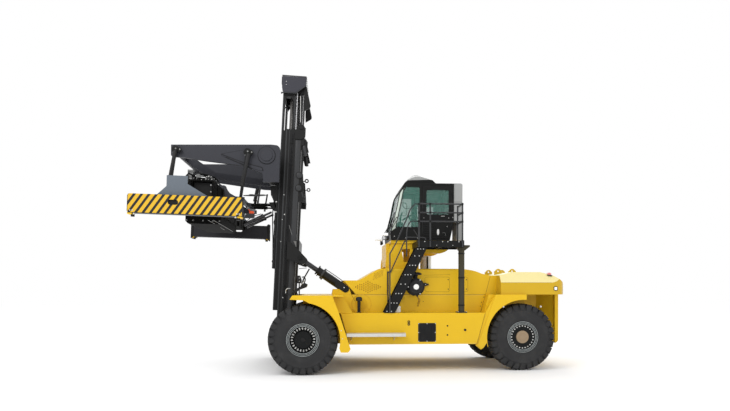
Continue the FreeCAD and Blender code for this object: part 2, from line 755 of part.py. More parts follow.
def counterweight():
    """The rear mass: a bevelled block with lifting lugs, and the tail between the wheels."""
    weight = new_body("counterweight", on_chassis)
    crease = "crease_z"
    profile = [
        ("hood_rear", "seam_z"), ("weight_rear", "seam_z"), ("weight_rear", "2120"), ("6560", crease),
        ("6250", "2385"), ("5950", "weight_top"), ("5250", "weight_top"), ("hood_rear", "hood_rear_top"),
    ]
    add(weight, "y", profile, "-weight_y", "weight_y")
    for _, side in SIDES:
        y = f"({side}) * weight_y"
        corner = [("weight_rear", y), ("weight_rear", f"({side}) * (weight_y - corner_round)",
                  f"({side}) * corner_round"), ("weight_rear - corner_round", y)]
        cut(weight, "z", corner, "seam_z", "weight_top")
        bevel = [(y, crease), (y, "weight_top + 10"), (f"({side}) * (weight_y - bevel)", "weight_top + 10")]
        cut(weight, "x", bevel, "hood_rear", "weight_rear")
    add(weight, "y", box("4600", "5860", "deck_z", "seam_z"), "-tail_y", "tail_y")
    for x in ("5020", "5400"):
        for _, side in SIDES:
            lug = [(x, "weight_top - 80"), (f"{x} + 200", "weight_top - 80"),
            (f"{x} + 200", "weight_top + 40"),
                   (f"{x} + 140", "weight_top + 100", "100"), (f"{x} + 60", "weight_top + 100"),
                   (x, "weight_top + 40")]
            add(weight, "y", lug, *span(side, "440", "500"))
            hole = (f"{x} + 100", "weight_top + 45")
            cut_round(weight, "y", hole, "25", *span(side, "440", "500"))
    tail = new_body("tail_block", on_chassis)
    plan = [
        ("5860", "-tail_y"), ("6190", "-tail_y"), ("6510", "-765"), ("6510", "-tail_rear_y"),
        ("weight_rear", "-tail_rear_y"), ("weight_rear", "tail_rear_y"), ("6510", "tail_rear_y"),
        ("6510", "765"), ("6190", "tail_y"), ("5860", "tail_y"),
    ]
    add(tail, "z", plan, "tail_bottom", "seam_z")
    soften(tail, "90", "y", ("weight_rear", "tail_bottom"))


# ---------------------------------------------------------------- cab

def cab():
    """The hollow cab: a shell with its window openings, glass, door and fittings."""
    shell = new_body("cab_shell", on_chassis)
    outer = [
        ("2215", "cab_floor"), ("door_rear - 60", "cab_floor"), ("cab_rear", "3780"),
        ("cab_rear", "cab_roof"), ("2660", "cab_roof", "260"), ("2530", "cab_roof - 55"),
        ("2449", "4546", "2600"), ("2371", "4157"), ("2200", "3470"),
    ]
    add(shell, "y", outer, "-cab_y", "cab_y")
    wall = "cab_wall"
    inner = [
        ("2255", f"cab_floor + {wall}"), ("door_rear - 95", f"cab_floor + {wall}"),
        (f"cab_rear - {wall}", "3785"),
        (f"cab_rear - {wall}", f"cab_roof - {wall}"), ("2675", f"cab_roof - {wall}"), ("2570", "4680"),
        ("2489", "4535"), ("2411", "4150"), ("2242", "3465"),
    ]
    cut(shell, "y", inner, f"-cab_y + {wall}", f"cab_y - {wall}")
    cut(shell, "z", box("2100", "2515", "-cab_y + 55", "cab_y - 55"), "3520", "4610")
    pane = [
        ("2318", "3620"), ("2985", "3620"), ("2985", "4640", "60"), ("2925", "4700"), ("2600", "4700"),
        ("2520", "4570"), ("2440", "4160"), ("2345", "3760"),
    ]
    door_hole = [
        ("door_front", f"cab_floor + {wall}"), ("door_rear - 95", f"cab_floor + {wall}"),
        ("door_rear", "3780"),
        ("door_rear", "4720"), ("door_front", "4720"),
    ]
    cut(shell, "y", pane, "-cab_y", f"-cab_y + {wall}")
    cut(shell, "y", pane, f"cab_y - {wall}", "cab_y")
    rear_pane = rounded_box("3115", "3745", "3950", "4630", "70")
    cut(shell, "y", rear_pane, f"cab_y - {wall}", "cab_y")
    cut(shell, "y", door_hole, "-cab_y", f"-cab_y + {wall}")
    cut(shell, "x", rounded_box("-600", "600", "3900", "4640", "60"), f"cab_rear - {wall}", "cab_rear")
    cut(shell, "z", box("2740", "3140", "-480", "480"), f"cab_roof - {wall}", "cab_roof")
    hinges(shell, "0", ("hinge_x", "hinge_x + 24"), ("hinge_x + 2", "hinge_x + 24"))
    door = new_body("cab_door", on_chassis)
    leaf = [
        ("door_front + door_gap", f"cab_floor + {wall} + door_gap"),
        ("door_rear - 95 - door_gap", f"cab_floor + {wall} + door_gap"),
        ("door_rear - door_gap", "3780"), ("door_rear - door_gap", "4714"), ("door_front + door_gap", "4714"),
    ]
    add(door, "y", leaf, "-cab_y", f"-cab_y + {wall}")
    cut(door, "y", rear_pane, "-cab_y", f"-cab_y + {wall}")
    hinges(door, "62", ("hinge_x - 50", "hinge_x"), ("hinge_x - 50", "door_rear - door_gap"))
    door_pane = new_body("door_glass", on_chassis)
    add(door_pane, "y", rear_pane, "-cab_y + 16", "-cab_y + 24")
    glass = new_body("cab_glass", on_chassis)
    add(glass, "y", pane, "-cab_y + 16", "-cab_y + 24")
    for face in (pane, rear_pane):
        add(glass, "y", face, "cab_y - 24", "cab_y - 16")
    back_pane = rounded_box("-600", "600", "3900", "4640", "60")
    add(glass, "x", back_pane, "cab_rear - 24", "cab_rear - 16")
    add(glass, "z", box("2740", "3140", "-480", "480"), "cab_roof - 24", "cab_roof - 16")
    screen = [
        ("2230", "3520"), ("2387", "4157"), ("2465", "4546"), ("2492", "4610"), ("2501", "4610"),
        ("2474", "4546"), ("2396", "4157"), ("2239", "3520"),
    ]
    add(glass, "y", screen, "-cab_y + 55", "cab_y - 55")
    cab_fittings()


def rounded_box(x0, x1, y0, y1, radius):
    """A rectangle with round corners."""
    return [
        (f"{x0} + {radius}", y0), (f"{x1} - {radius}", y0, radius), (x1, f"{y0} + {radius}"),
        (x1, f"{y1} - {radius}", radius), (f"{x1} - {radius}", y1), (f"{x0} + {radius}", y1, radius),
        (x0, f"{y1} - {radius}"), (x0, f"{y0} + {radius}", radius),
    ]


def hinges(piece, rise, strap, pad):
    """Hinge knuckles at the door's rear edge, some way above each hinge's foot."""
    for foot in ("3960", "4420"):
        start = f"{foot} + {rise}"
        add_round(piece, "z", ("hinge_x", "hinge_y"), "14", start, f"{start} + 60")
        add(piece, "z", box(*strap, "-cab_y - 14", "-cab_y - 6"), start, f"{start} + 60")
        add(piece, "z", box(*pad, "-cab_y - 6", "-cab_y"), start, f"{start} + 60")


def cab_fittings():
    """What shows through the glass, and the units on the cab's roof and back."""
    seat = new_body("driver_seat", on_chassis)
    cushion = [
        ("2980", "3750"), ("3470", "3740"), ("3440", "3870", "900"),
        ("3010", "3880", "40"), ("2975", "3850"),
    ]
    add(seat, "y", cushion, "-240", "240")
    backrest = [
        ("3470", "3740"), ("3560", "3740"), ("3610", "4450", "60"),
        ("3530", "4480"), ("3440", "3870"),
    ]
    add(seat, "y", backrest, "-230", "230")
    console = new_body("cab_console", on_chassis)
    add(console, "z", box("3050", "3420", "-170", "170"), "cab_floor + cab_wall", "3740")
    dash = [
        ("2420", "cab_floor + cab_wall"), ("2620", "cab_floor + cab_wall"), ("2640", "3640"),
        ("2600", "3800"), ("2480", "3840"), ("2400", "3760"),
    ]
    add(console, "y", dash, "-300", "300")
    add(console, "z", box("3000", "3500", "290", "470"), "cab_floor + cab_wall", "3900")
    wheel = new_body("steering_wheel", lambda piece: place(
        piece, x="front_axle_x + 2790", z="4010", pitch="-28"))
    add_round(wheel, "z", ("0", "0"), "205", "-12", "12")
    cut_round(wheel, "z", ("0", "0"), "175", "-12", "12")
    add(wheel, "z", box("-180", "180", "-14", "14"), "-8", "8")
    add_round(wheel, "z", ("0", "0"), "24", "-300", "12")
    roof = new_body("roof_unit", on_chassis)
    cowl = [
        ("2640", "cab_roof"), ("3260", "cab_roof"), ("3190", "cab_roof + 62", "700"),
        ("2850", "cab_roof + 178", "120"),
        ("2740", "cab_roof + 150", "700"),
    ]
    add(roof, "y", cowl, "-560", "-490")
    add(roof, "y", cowl, "490", "560")
    add(roof, "y", [("2850", "cab_roof + 178"), ("2742", "cab_roof + 150"), ("2650", "cab_roof + 10"),
                    ("2672", "cab_roof + 10"), ("2755", "cab_roof + 132"), ("2850", "cab_roof + 158"),
                    ("3180", "cab_roof + 45"), ("3190", "cab_roof + 62")], "-490", "490")
    rear = new_body("rear_air_unit", on_chassis)
    cover = [
        ("cab_rear", "3800"), ("4085", "3800"), ("4090", "cab_roof - 25", "60"), ("4040", "cab_roof + 12"),
        ("cab_rear", "cab_roof + 12"),
    ]
    add(rear, "y", cover, "-cab_y + 20", "cab_y - 20")
    add(rear, "y", box("3945", "4090", "3310", "3800"), "-cab_y + 20", "-cab_y + 620")


def cab_support():
    """The folded pedestal, the platform with its rails and post, and the ladder."""
    pedestal = new_body("cab_pedestal", on_chassis)
    leg = [
        ("2085", "hood_top"), ("2950", "hood_top"), ("2950", "2980"), ("3350", "2980", "400"),
        ("3740", "3080"), ("3740", "cab_floor - 75"), ("2230", "cab_floor - 75"), ("2120", "2920", "900"),
    ]
    gap = [("2560", "2740"), ("2720", "2740"), ("2720", "3080"), ("2500", "3080"), ("2500", "3040")]
    for _, side in SIDES:
        low, high = span(side, "leg_y - 120", "leg_y")
        add(pedestal, "y", leg, low, high)
        cut(pedestal, "y", gap, low, high)
    tray = box("2215", "3740", "cab_floor - 75", "cab_floor")
    add(pedestal, "y", tray, "-leg_y - 40", "leg_y + 40")
    add(pedestal, "y", box("2105", "2200", "2620", "cab_floor - 75"), "-leg_y + 120", "leg_y - 120")
    platform = new_body("platform", on_chassis)
    deck = "platform_top - 22"
    add(platform, "z", box("2780", "3935", "-platform_y", "-leg_y - 40"), deck, "platform_top")
    for x in ("2780", "3340", "3895"):
        add(platform, "z", box(x, f"{x} + 40", "-platform_y", "-leg_y"), "platform_top - 160", deck)
    for y in ("-platform_y", "-leg_y - 60"):
        add(platform, "z", box("2780", "3935", y, f"{y} + 30"), "platform_top - 160", deck)
    rails = new_body("handrails", on_chassis)
    line = "-platform_y - 20"
    for z in ("4120", "3905", "3690"):
        add_round(rails, "x", (line, z), "rail_tube", "2800", "3890")
    for x in ("2808", "3085", "3885"):
        add_round(rails, "z", (x, line), "rail_tube + 2", "platform_top - 160", "4150")
    for z in ("4120", "3905", "3690"):
        add(rails, "z", box("3870", "3900", line, "-1130"), f"{z} - 15", f"{z} + 15")
    add_round(rails, "z", ("3885", "-1130"), "rail_tube + 2", "platform_top", "4150")
    post = new_body("platform_post", on_chassis)
    add_round(post, "z", ("3900", "-1480"), "75", "deck_z + 25", "platform_top - 230")
    add(post, "z", box("3780", "4020", "-1600", "-1360"), "deck_z", "deck_z + 25")
    head = [
        ("3820", "platform_top - 230"), ("3980", "platform_top - 230"), ("4100", "platform_top - 140"),
        ("4100", "platform_top - 100"), ("3935", "platform_top - 100"), ("3935", "platform_top - 160"),
        ("3790", "platform_top - 160"),
    ]
    add(post, "y", head, "-1540", "-1420")
    ladder = new_body("access_ladder", on_chassis)
    slope = "ladder_run / ladder_rise"
    stringer = [
        ("ladder_foot", "deck_z"), ("ladder_foot + ladder_depth", "deck_z"),
        ("ladder_foot + ladder_depth + ladder_run", "deck_z + ladder_rise"),
        ("ladder_foot + ladder_run", "deck_z + ladder_rise"),
    ]
    for low, high in (("-1600", "-1580"), ("-1180", "-1160")):
        add(ladder, "y", stringer, low, high)
    for index in range(6):
        z = f"deck_z + {index + 1} * ladder_rise / 7"
        x = f"ladder_foot + 35 + {index + 1} * ladder_run / 7"
        add(ladder, "y", box(x, f"{x} + 190", z, f"{z} + 30"), "-1580", "-1180")
    tube = [
        ("2083", "deck_z"), ("2113", "deck_z"), ("2113", "2893"), ("2262", "3160"), ("2560", "3830", "-420"),
        ("2735", "4105"), ("2788", "4105"), ("2788", "4135"), ("2720", "4135", "460"), ("2533", "3842"),
        ("2235", "3170"), ("2083", "2903"),
    ]
    add(rails, "y", tube, "-1660", "-1630")
    inner = [
        ("2150", "2460"), ("2180", "2460"), ("2530", "3225"), ("2560", "3225"),
        ("2560", "2860"), ("2590", "2860"),
        ("2590", "3255"), ("2510", "3255"),
    ]
    add(rails, "y", inner, "-1157", "-1133")
    add(rails, "y", [("2083", "2480"), ("2180", "2480"), ("2180", "2450"),
    ("2083", "2450")], "-1157", "-1133")
    add(rails, "y", box("2083", "2113", "deck_z", "2480"), "-1157", "-1133")


def service_parts():
    """The air cleaner, exhaust, breather and valve parts beside the hood."""
    cleaner = new_body("air_cleaner", on_chassis)
    turn_at = ("2830", "2090")
    add_round(cleaner, "y", turn_at, "190", "-1500", "-1190")
    add_round(cleaner, "y", turn_at, "210", "-1475", "-1440")
    add_round(cleaner, "y", turn_at, "210", "-1250", "-1215")
    add_round(cleaner, "z", ("2830", "-1340"), "62", "2240", "2390")
    add_round(cleaner, "z", ("2850", "-1340"), "130", "2390", "2440")
    add(cleaner, "y", box("2760", "2900", "1960", "2220"), "-1190", "-body_y")
    stack = new_body("exhaust_stack", on_chassis)
    add_round(stack, "z", ("3090", "300"), "115", "hood_top", "2930")
    add_round(stack, "z", ("3090", "300"), "60", "2930", "2975")
    breather = new_body("breather", on_chassis)
    add_round(breather, "z", ("1360", "-1300"), "38", "deck_z", "1740")
    add_round(breather, "z", ("1360", "-1300"), "62", "1740", "1840")
    add_round(breather, "z", ("1360", "-1300"), "62", "deck_z", "deck_z + 20")


# ---------------------------------------------------------------- mast

def outer_mast():
    """The fixed stage: two channels open inwards, cross beams and the tilt ears."""
    mast = new_body("outer_mast", on_mast)
    foot = "mast_foot"
    for _, side in SIDES:
        web = span(side, "column_y - 60", "column_y")
        add(mast, "y", box("outer_front", "outer_rear", foot, "outer_top"), *web)
        for front in ("outer_front", "outer_rear - 40"):
            flange = box(front, f"{front} + 40", foot, "outer_top")
            add(mast, "y", flange, *span(side, "column_y - 140", "column_y - 60"))
        for low in ("420", "2250", "5000"):
            gusset = box("outer_rear", "outer_rear + 35", low, f"{low} + 300")
            add(mast, "y", gusset, *span(side, "column_y - 140", "column_y"))
        ear = [
            ("-96", "2042"), ("300", "1925"), ("375", "1960", "80"), ("390", "2090"), ("159", "2314"),
            ("-18", "2477"), ("-96", "2477"),
        ]
        eye = ("tilt_eye_x", "tilt_eye_z")
        add(mast, "y", ear, *span(side, "column_y", "tilt_y - 65"))
        add(mast, "y", ear, *span(side, "tilt_y + 65", "tilt_y + 95"))
        add_round(mast, "y", eye, "38", *span(side, "tilt_y - 65", "tilt_y + 65"))
        cut_round(mast, "y", ("0", "0"), "pivot_pin + 1", *span(side, "column_y - 140", "column_y"))
        cap = [
            ("-60", "5150"), ("outer_rear", "5150"), ("205", "5230"), ("205", "5440"), ("178", "5463", "92"),
            ("0", "5463"), ("-60", "outer_top - 20"),
        ]
        add(mast, "y", cap, *span(side, "column_y", "column_y + 25"))
        add_round(mast, "y", ("88", "5463"), "60", *span(side, "column_y - 40", "column_y + 45"))
        guard = [
            ("outer_rear", "5180"), ("214", "5170"), ("312", "4835", "60"), ("250", "4746"), ("157", "4746"),
            ("outer_rear", "4900"),
        ]
        add(mast, "y", guard, *span(side, "column_y - 60", "column_y - 35"))
        for z in ("4219", "3895"):
            add_round(mast, "y", ("95", z), "88", *span(side, "column_y", "column_y + 30"))
        clip = [
            ("outer_rear", "4320"), ("190", "4260"), ("250", "3700"),
            ("250", "3540"), ("outer_rear", "3540"),
        ]
        add(mast, "y", clip, *span(side, "column_y - 30", "column_y"))
    for low in ("420", "2250", "5000"):
        across = box("outer_rear + 35", "outer_rear + 75", "-column_y + 140", "column_y - 140")
        add(mast, "z", across, low, f"{low} + 300")
    for low in ("420", "2250", "5000"):
        for _, side in SIDES:
            add(mast, "y", box("outer_rear + 35", "outer_rear + 75", low, f"{low} + 300"),
                *span(side, "column_y - 140", "column_y"))
    add(mast, "z", box("-60", "outer_rear", "-column_y + 140", "column_y - 140"), "20", "100")
    barrels = new_body("lift_cylinder_barrels", on_mast)
    for _, side in SIDES:
        centre = ("lift_x", f"({side}) * lift_y")
        add_round(barrels, "z", centre, "85", "100", "5250")
        cut_round(barrels, "z", centre, "rod_radius + 10", "160", "5250")
        add_round(barrels, "z", centre, "92", "5120", "5250")
        cut_round(barrels, "z", centre, "rod_radius + 1", "5120", "5250")


def inner_mast():
    """The moving stage: two I columns, their rollers and the hollow crosshead."""
    mast = new_body("inner_mast", on_mast)
    for _, side in SIDES:
        web = span(side, "inner_y - 45", "inner_y")
        flanges = span(side, "inner_y - 145", "inner_y - 45")
        add(mast, "y", box("mast_front", "inner_rear", "inner_low", "inner_top"), *web)
        add(mast, "y", box("mast_front", "window_front", "inner_low", "inner_top"), *flanges)
        add(mast, "y", box("window_rear", "inner_rear", "inner_low", "inner_top"), *flanges)
        window = [("window_front", "outer_top"), ("window_rear", "outer_top"), ("window_rear", "6200"),
                  ("window_rear - 40", "6270", "200"),
                  ("window_front + 40", "6270"), ("window_front", "6200")]
        cut(mast, "y", window, *web)
        for z in ("inner_low + 200", "inner_low + 1400"):
            add_round(mast, "y", ("inner_rear", z), "158", *span(side, "inner_y", "column_y - 70"))
        guard = [("110", "6620"), ("110", "6120"), ("126", "5930"), ("250", "6010", "80"), ("286", "6110"),
                 ("153", "6620")]
        add(mast, "y", guard, *span(side, "inner_y - 40", "inner_y - 10"))
    for low in ("inner_low", "inner_low + 2500", "inner_top - 300"):
        tie = box("inner_rear", "inner_rear + 30", "-inner_y + 5", "inner_y - 5")
        add(mast, "z", tie, low, f"{low} + 250")
    head = [
        ("mast_front", "inner_top"), ("-142", "inner_top"), ("-142", "6375"),
        ("153", "6580"), ("165", "6810"),
        ("-484", "6790"), ("-484", "6600"), ("mast_front", "6480"),
    ]
    add(mast, "y", head, "-column_y + 140", "column_y - 140")
    hollow = [("-380", "inner_top"), ("-180", "inner_top"), ("-180", "6420"),
    ("100", "6600"), ("110", "6760"),
              ("-430", "6740"), ("-430", "6610"), ("-380", "6480")]
    cut(mast, "y", hollow, "-300", "300")
    for _, side in SIDES:
        pad = box("-45", "115", "6380", "6660")
        add(mast, "y", pad, *span(side, "lift_y - 80", "lift_y + 80"))
        cut(mast, "y", box("-70", "15", "6380", "6590"), *span(side, "chain_y - 45", "chain_y + 45"))
        add_round(mast, "y", ("sheave_x", "sheave_z"), "sheave", *span(side, "chain_y - 45", "chain_y + 45"))
        add_round(mast, "y", ("sheave_x", "sheave_z"), "30", *span(side, "chain_y + 45", "300"))
    chains = new_body("lift_chains", on_mast)
    rods = new_body("lift_cylinder_rods", on_mast)
    wrap, top = "(sheave + chain)", "sheave_z"
    chain = [
        ("sheave_x + sheave + 1", "1500"), (f"sheave_x + {wrap}", "1500"), (f"sheave_x + {wrap}", top, wrap),
        ("sheave_x", f"{top} + {wrap}", wrap), (f"sheave_x - {wrap}", top), (f"sheave_x - {wrap}", "1900"),
        ("sheave_x - sheave - 1", "1900"), ("sheave_x - sheave - 1", top, "-sheave - 1"),
        ("sheave_x", f"{top} + sheave + 1", "-sheave - 1"), ("sheave_x + sheave + 1", top),
    ]
    for _, side in SIDES:
        add(chains, "y", chain, *span(side, "chain_y - 35", "chain_y + 35"))
        centre = ("lift_x", f"({side}) * lift_y")
        add_round(rods, "z", centre, "rod_radius", "2000", "6380")


def carriage():
    """The carriage with its rollers, and the two arms that reach over the spreader."""
    frame = new_body("carriage_frame", on_mast)
    back, front = "carriage_x + 60", "carriage_x"
    for _, side in SIDES:
        plate = span(side, "330", "560")
        add(frame, "y", box(front, back, "1800", "4850"), *plate)
        inner = span(side, "330", "inner_y - 160")
        for foot in ("1850", "4250"):
            add(frame, "y", box(back, "-210", foot, f"{foot} + 300"), *inner)
            middle = ("(window_front + window_rear) / 2", f"{foot} + 150")
            add_round(frame, "y", middle, "roller", *span(side, "inner_y - 160", "inner_y - 50"))
        ear = [
            (front, "3280"), (front, "3640"), ("-600", "3520"), ("-640", "3490", "45"), ("-640", "3425"),
            ("-600", "3400"),
        ]
        for low, high in (("diagonal_y - 70", "diagonal_y - 45"), ("diagonal_y + 45", "diagonal_y + 70")):
            add(frame, "y", ear, *span(side, low, high))
        add_round(frame, "y", ("-588", "3462"), "17.5", *span(side, "diagonal_y - 70", "diagonal_y + 70"))
        curve = [
            (front, "1850"), (front, "3934"), ("-640", "3934"),
            ("-620", "3700", "-900"), ("-520", "3000", "-2500"),
        ]
        add(frame, "y", curve, *span(side, "500", "560"))
    for foot in ("1800", "3000", "4300"):
        add(frame, "z", box(front, back, "-330", "330"), foot, f"{foot} + 400")
    cross = ("-arm_y + arm_plate / 2", "arm_y - arm_plate / 2")
    add(frame, "y", box("-640", front, "3950", "4320"), *cross)
    arms = new_body("spreader_arms", on_mast)
    outline = [
        ("-796", "4132", "-400"), ("-768", "3912"), ("-367", "3934"),
        ("-380", "4757", "130"), ("-470", "4845"),
        ("-610", "4853"), ("-3043", "4697"), ("-3035", "4450", "60"), ("-2960", "4405"),
        ("-2787", "4405"), ("-2202", "4350"), ("-1271", "4289"),
    ]
    tube, half = ("tube_x", "tube_z"), "arm_plate / 2"
    for _, side in SIDES:
        add(arms, "y", outline, *span(side, f"arm_y - {half}", f"arm_y + {half}"))
        add_round(arms, "y", tube, "206", *span(side, f"arm_y + {half}", f"arm_y + {half} + 25"))
        add_round(arms, "y", tube, "143", *span(side, f"arm_y + {half} + 25", f"arm_y + {half} + 45"))
        for x, z in (("-2907", "4582"), ("-1165", "4626")):
            pad = span(side, f"arm_y + {half}", "hanger_y")
            add_round(arms, "y", (x, z), "90", *pad)
    add_round(arms, "y", tube, "143", *cross)
    add_round(arms, "y", ("-2907", "4560"), "85", *cross)
    rib = [("-1750", "4420"), ("-800", "4230"), ("-780", "4290"), ("-1700", "4540")]
    for _, side in SIDES:
        low, high = span(side, "300", "340")
        brace = [("-2870", "4600"), ("-2700", "4600"), ("-2100", "4230"), ("-850", "4130"), ("-640", "4130"),
                 ("-640", "3960"), ("-900", "3960"), ("-2250", "4080"), ("-2870", "4480")]
        add(arms, "y", brace, low, high)


def tilt_cylinders():
    """Barrels pinned to the front cowl, with rods pinned to the mast's ears."""
    barrels = new_body("tilt_cylinder_barrels", on_tilt)
    rods = new_body("tilt_cylinder_rods", on_tilt)
    for _, side in SIDES:
        middle = f"({side}) * tilt_y"
        add_round(barrels, "x", (middle, "0"), "98", "-840", "-60")
        cut_round(barrels, "x", (middle, "0"), "tilt_rod + 8", "-840", "-120")
        add_round(barrels, "x", (middle, "0"), "128", "-862", "-832")
        cut_round(barrels, "x", (middle, "0"), "tilt_rod + 8", "-862", "-832")
        add_round(barrels, "y", ("0", "0"), "88", f"{middle} - 60", f"{middle} + 60")
        cut_round(barrels, "y", ("0", "0"), "40", f"{middle} - 60", f"{middle} + 60")
        add_round(rods, "x", (middle, "0"), "tilt_rod", f"-{TILT_LENGTH} + 60", "-450")
        add_round(rods, "y", (f"-{TILT_LENGTH}", "0"), "75", f"{middle} - 55", f"{middle} + 55")
        cut_round(rods, "y", (f"-{TILT_LENGTH}", "0"), "41", f"{middle} - 55", f"{middle} + 55")
    brackets = new_body("tilt_cylinder_brackets", on_chassis)
    foot = "fender_top"
    for _, side in SIDES:
        cheek = [
            ("690", foot), ("nose_x", foot), ("nose_x", "seam_z"), ("1180", "seam_z"),
            ("1110", "2100"), ("tilt_base_x + 40", "tilt_base_z + 95"),
            ("tilt_base_x - 40", "tilt_base_z + 95"), ("880", "2035"), ("720", "2035"),
        ]
        add(brackets, "y", cheek, *span(side, "tilt_y - 134", "tilt_y - 104"))
        add(brackets, "y", cheek, *span(side, "tilt_y + 104", "tilt_y + 134"))
        web = box("690", "nose_x", foot, f"{foot} + 20")
        add(brackets, "y", web, *span(side, "tilt_y - 104", "tilt_y + 104"))
        pin = ("tilt_base_x", "tilt_base_z")
        add_round(brackets, "y", pin, "38", *span(side, "tilt_y - 104", "tilt_y + 104"))


# ---------------------------------------------------------------- spreader

def hanger_frame():
    """The saddle that carries the spreader, its hangers and its valve blocks."""
    frame = new_body("hanger_frame", on_spreader)
    saddle = [
        ("-900", "585"), ("-545", "585"), ("-545", "515"), ("-480", "515"), ("-480", "552"), ("-510", "552"),
        ("-510", "880"), ("510", "880"), ("510", "552"), ("480", "552"), ("480", "515"), ("545", "515"),
        ("545", "585"), ("1000", "585"), ("1000", "690"), ("780", "700"), ("650", "770", "-400"),
        ("540", "940"), ("500", "960"), ("-520", "960", "-300"), ("-650", "760"), ("-900", "700"),
    ]
    outer = "hanger_y - 60"
    for _, side in SIDES:
        add(frame, "y", saddle, *span(side, outer, "hanger_y"))
    for x in ("-880", "880"):
        add(frame, "y", box(x, f"{x} + 90", "590", "685"), f"-({outer})", outer)
    for x in ("-400", "200"):
        add(frame, "y", box(x, f"{x} + 120", "890", "950"), f"-({outer})", outer)
    links = new_body("hangers", on_spreader)
    for _, side in SIDES:
        low, high = span(side, "hanger_y", "hanger_y + 55")
        for top, foot, height in (("-698", "-835", "1802"), ("1045", "909", "1814")):
            bar = [(f"{foot} - 34", "640"), (f"{foot} + 34", "640"), (f"{top} + 38", height),
                   (f"{top} - 38", height)]
            add(links, "y", bar, low, high)
            add_round(links, "y", (top, height), "75", low, high)
            add_round(links, "y", (foot, "640"), "58", low, high)
    unit = new_body("spreader_hydraulics", on_spreader)
    add(unit, "z", box("-380", "340", "-980", "-200"), "950", "985")
    add(unit, "z", box("-330", "-40", "-900", "-420"), "985", "1190")
    add(unit, "z", box("0", "260", "-820", "-300"), "985", "1120")
    add_round(unit, "y", ("130", "1180"), "75", "-760", "-380")
    for _, side in SIDES:
        middle = f"({side}) * diagonal_y"
        for x, radius in (("damper_front", "38"), ("damper_rear", "38")):
            ring = span(side, "diagonal_y - 40", "diagonal_y + 40")
            add_round(unit, "y", (x, "damper_z"), radius, *ring)
            cut_round(unit, "y", (x, "damper_z"), "18", *ring)
        add_round(unit, "x", (middle, "damper_z"), "42", "damper_front + 30", "damper_rear - 190")
        add_round(unit, "x", (middle, "damper_z"), "22", "damper_rear - 190", "damper_rear - 30")
        for low, high in (("diagonal_y - 70", "diagonal_y - 45"), ("diagonal_y + 45", "diagonal_y + 70")):
            lug = box("970", "damper_front + 35", "600", "680")
            add(frame, "y", lug, *span(side, low, high))
        eye = span(side, "diagonal_y - 70", "diagonal_y + 70")
        add_round(frame, "y", ("damper_front", "damper_z"), "17.5", *eye)


def main_frame():
    """The box that holds both telescopes, with side guide rails and a belly pan."""
    frame = new_body("spreader_main_frame", on_spreader)
    half = "main_half"
    add(frame, "y", box("-470", "470", "215", "865"), f"-{half}", half)
    cut(frame, "y", box("-440", "-8", "250", "830"), f"-{half}", half)
    cut(frame, "y", box("8", "440", "250", "830"), f"-{half}", half)
    for low, high in (("-500", "-470"), ("470", "500")):
        add(frame, "y", box(low, high, "562", "575"), "-1750", "1750")
    belly = [("-430", "215"), ("-430", "60"), ("-370", "0"), ("370", "0"), ("430", "60"), ("430", "215")]
    add(frame, "y", belly, "-1200", "1200")
    for y in ("-2450", "-1250", "1190", "2390"):
        for low, high in (("-520", "-470"), ("470", "520")):
            add(frame, "y", box(low, high, "215", "500"), y, f"{y} + 60")


def telescopes():
    """The two sliding tubes, each with a striped end beam and its twistlocks."""
    for name, side in (("near", -1), ("far", 1)):
        end = new_body(f"{name}_telescope", on_spreader)
        half = "beam_width / 2"
        beam = rounded_box(f"-({half})", half, "0", "beam_height", "45")
        low, high = span(side, "spreader_half - 210", "spreader_half")
        add(end, "y", beam, low, high)
        slot = rounded_box("-370", "-150", "200", "310", "50")
        slot = [(f"({-side}) * ({p[0]})", p[1], *[f"({-side}) * ({r})" for r in p[2:]]) for p in slot]
        cut(end, "y", slot, low, high)
        plate = [("-649", "beam_height"), ("484", "beam_height"), ("10", "681"), ("10", "853"),
                 ("-436", "853"), ("-436", "618")]
        plate = [(f"({-side}) * ({a})", b) for a, b in plate]
        add(end, "y", plate, *span(side, "spreader_half - 150", "spreader_half - 110"))
        tube = box(f"({side}) * 20", f"({side}) * 428", "262", "818")
        start, stop = span(side, "-2350", "spreader_half - 150")
        add(end, "y", tube, start, stop)
        for x in ("-lock_x", "lock_x"):
            centre = (x, f"({side}) * (spreader_half - 104)")
            add_round(end, "z", centre, "40", "-75", "0")


def check_and_export():
    """Stop on any failed object, then write each sub-part as one STEP file."""
    doc.recompute()
    failed = [item.Label for item in doc.Objects if {"Invalid", "Error"} & set(item.State)]
    for piece in NODES:
        if piece.Shape.isNull() or not piece.Shape.isValid() or piece.Shape.Volume <= 0:
            failed.append(piece.Label)
    if failed:
        raise RuntimeError(f"failed sub-parts: {sorted(set(failed))}")
    os.makedirs("parts", exist_ok=True)
    for piece in NODES:
        piece.Shape.exportStep(f"parts/{piece.Label}.step")


for build in (
    front_wheels, rear_wheels, axles, chassis_frame, side_tanks, fenders, bodywork,
    counterweight, cab, cab_support, service_parts, outer_mast, inner_mast, carriage,
    tilt_cylinders, hanger_frame, main_frame, telescopes,
):
    build()
check_and_export()
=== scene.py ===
"""Dresses the container-handling forklift truck, lights it and points the camera at it."""
from __future__ import annotations

import itertools
import json
import logging
import math
import random
from dataclasses import dataclass
from enum import Enum
from typing import Callable, Iterable, Protocol, Sequence

import bmesh
import bpy
from mathutils import Matrix, Vector


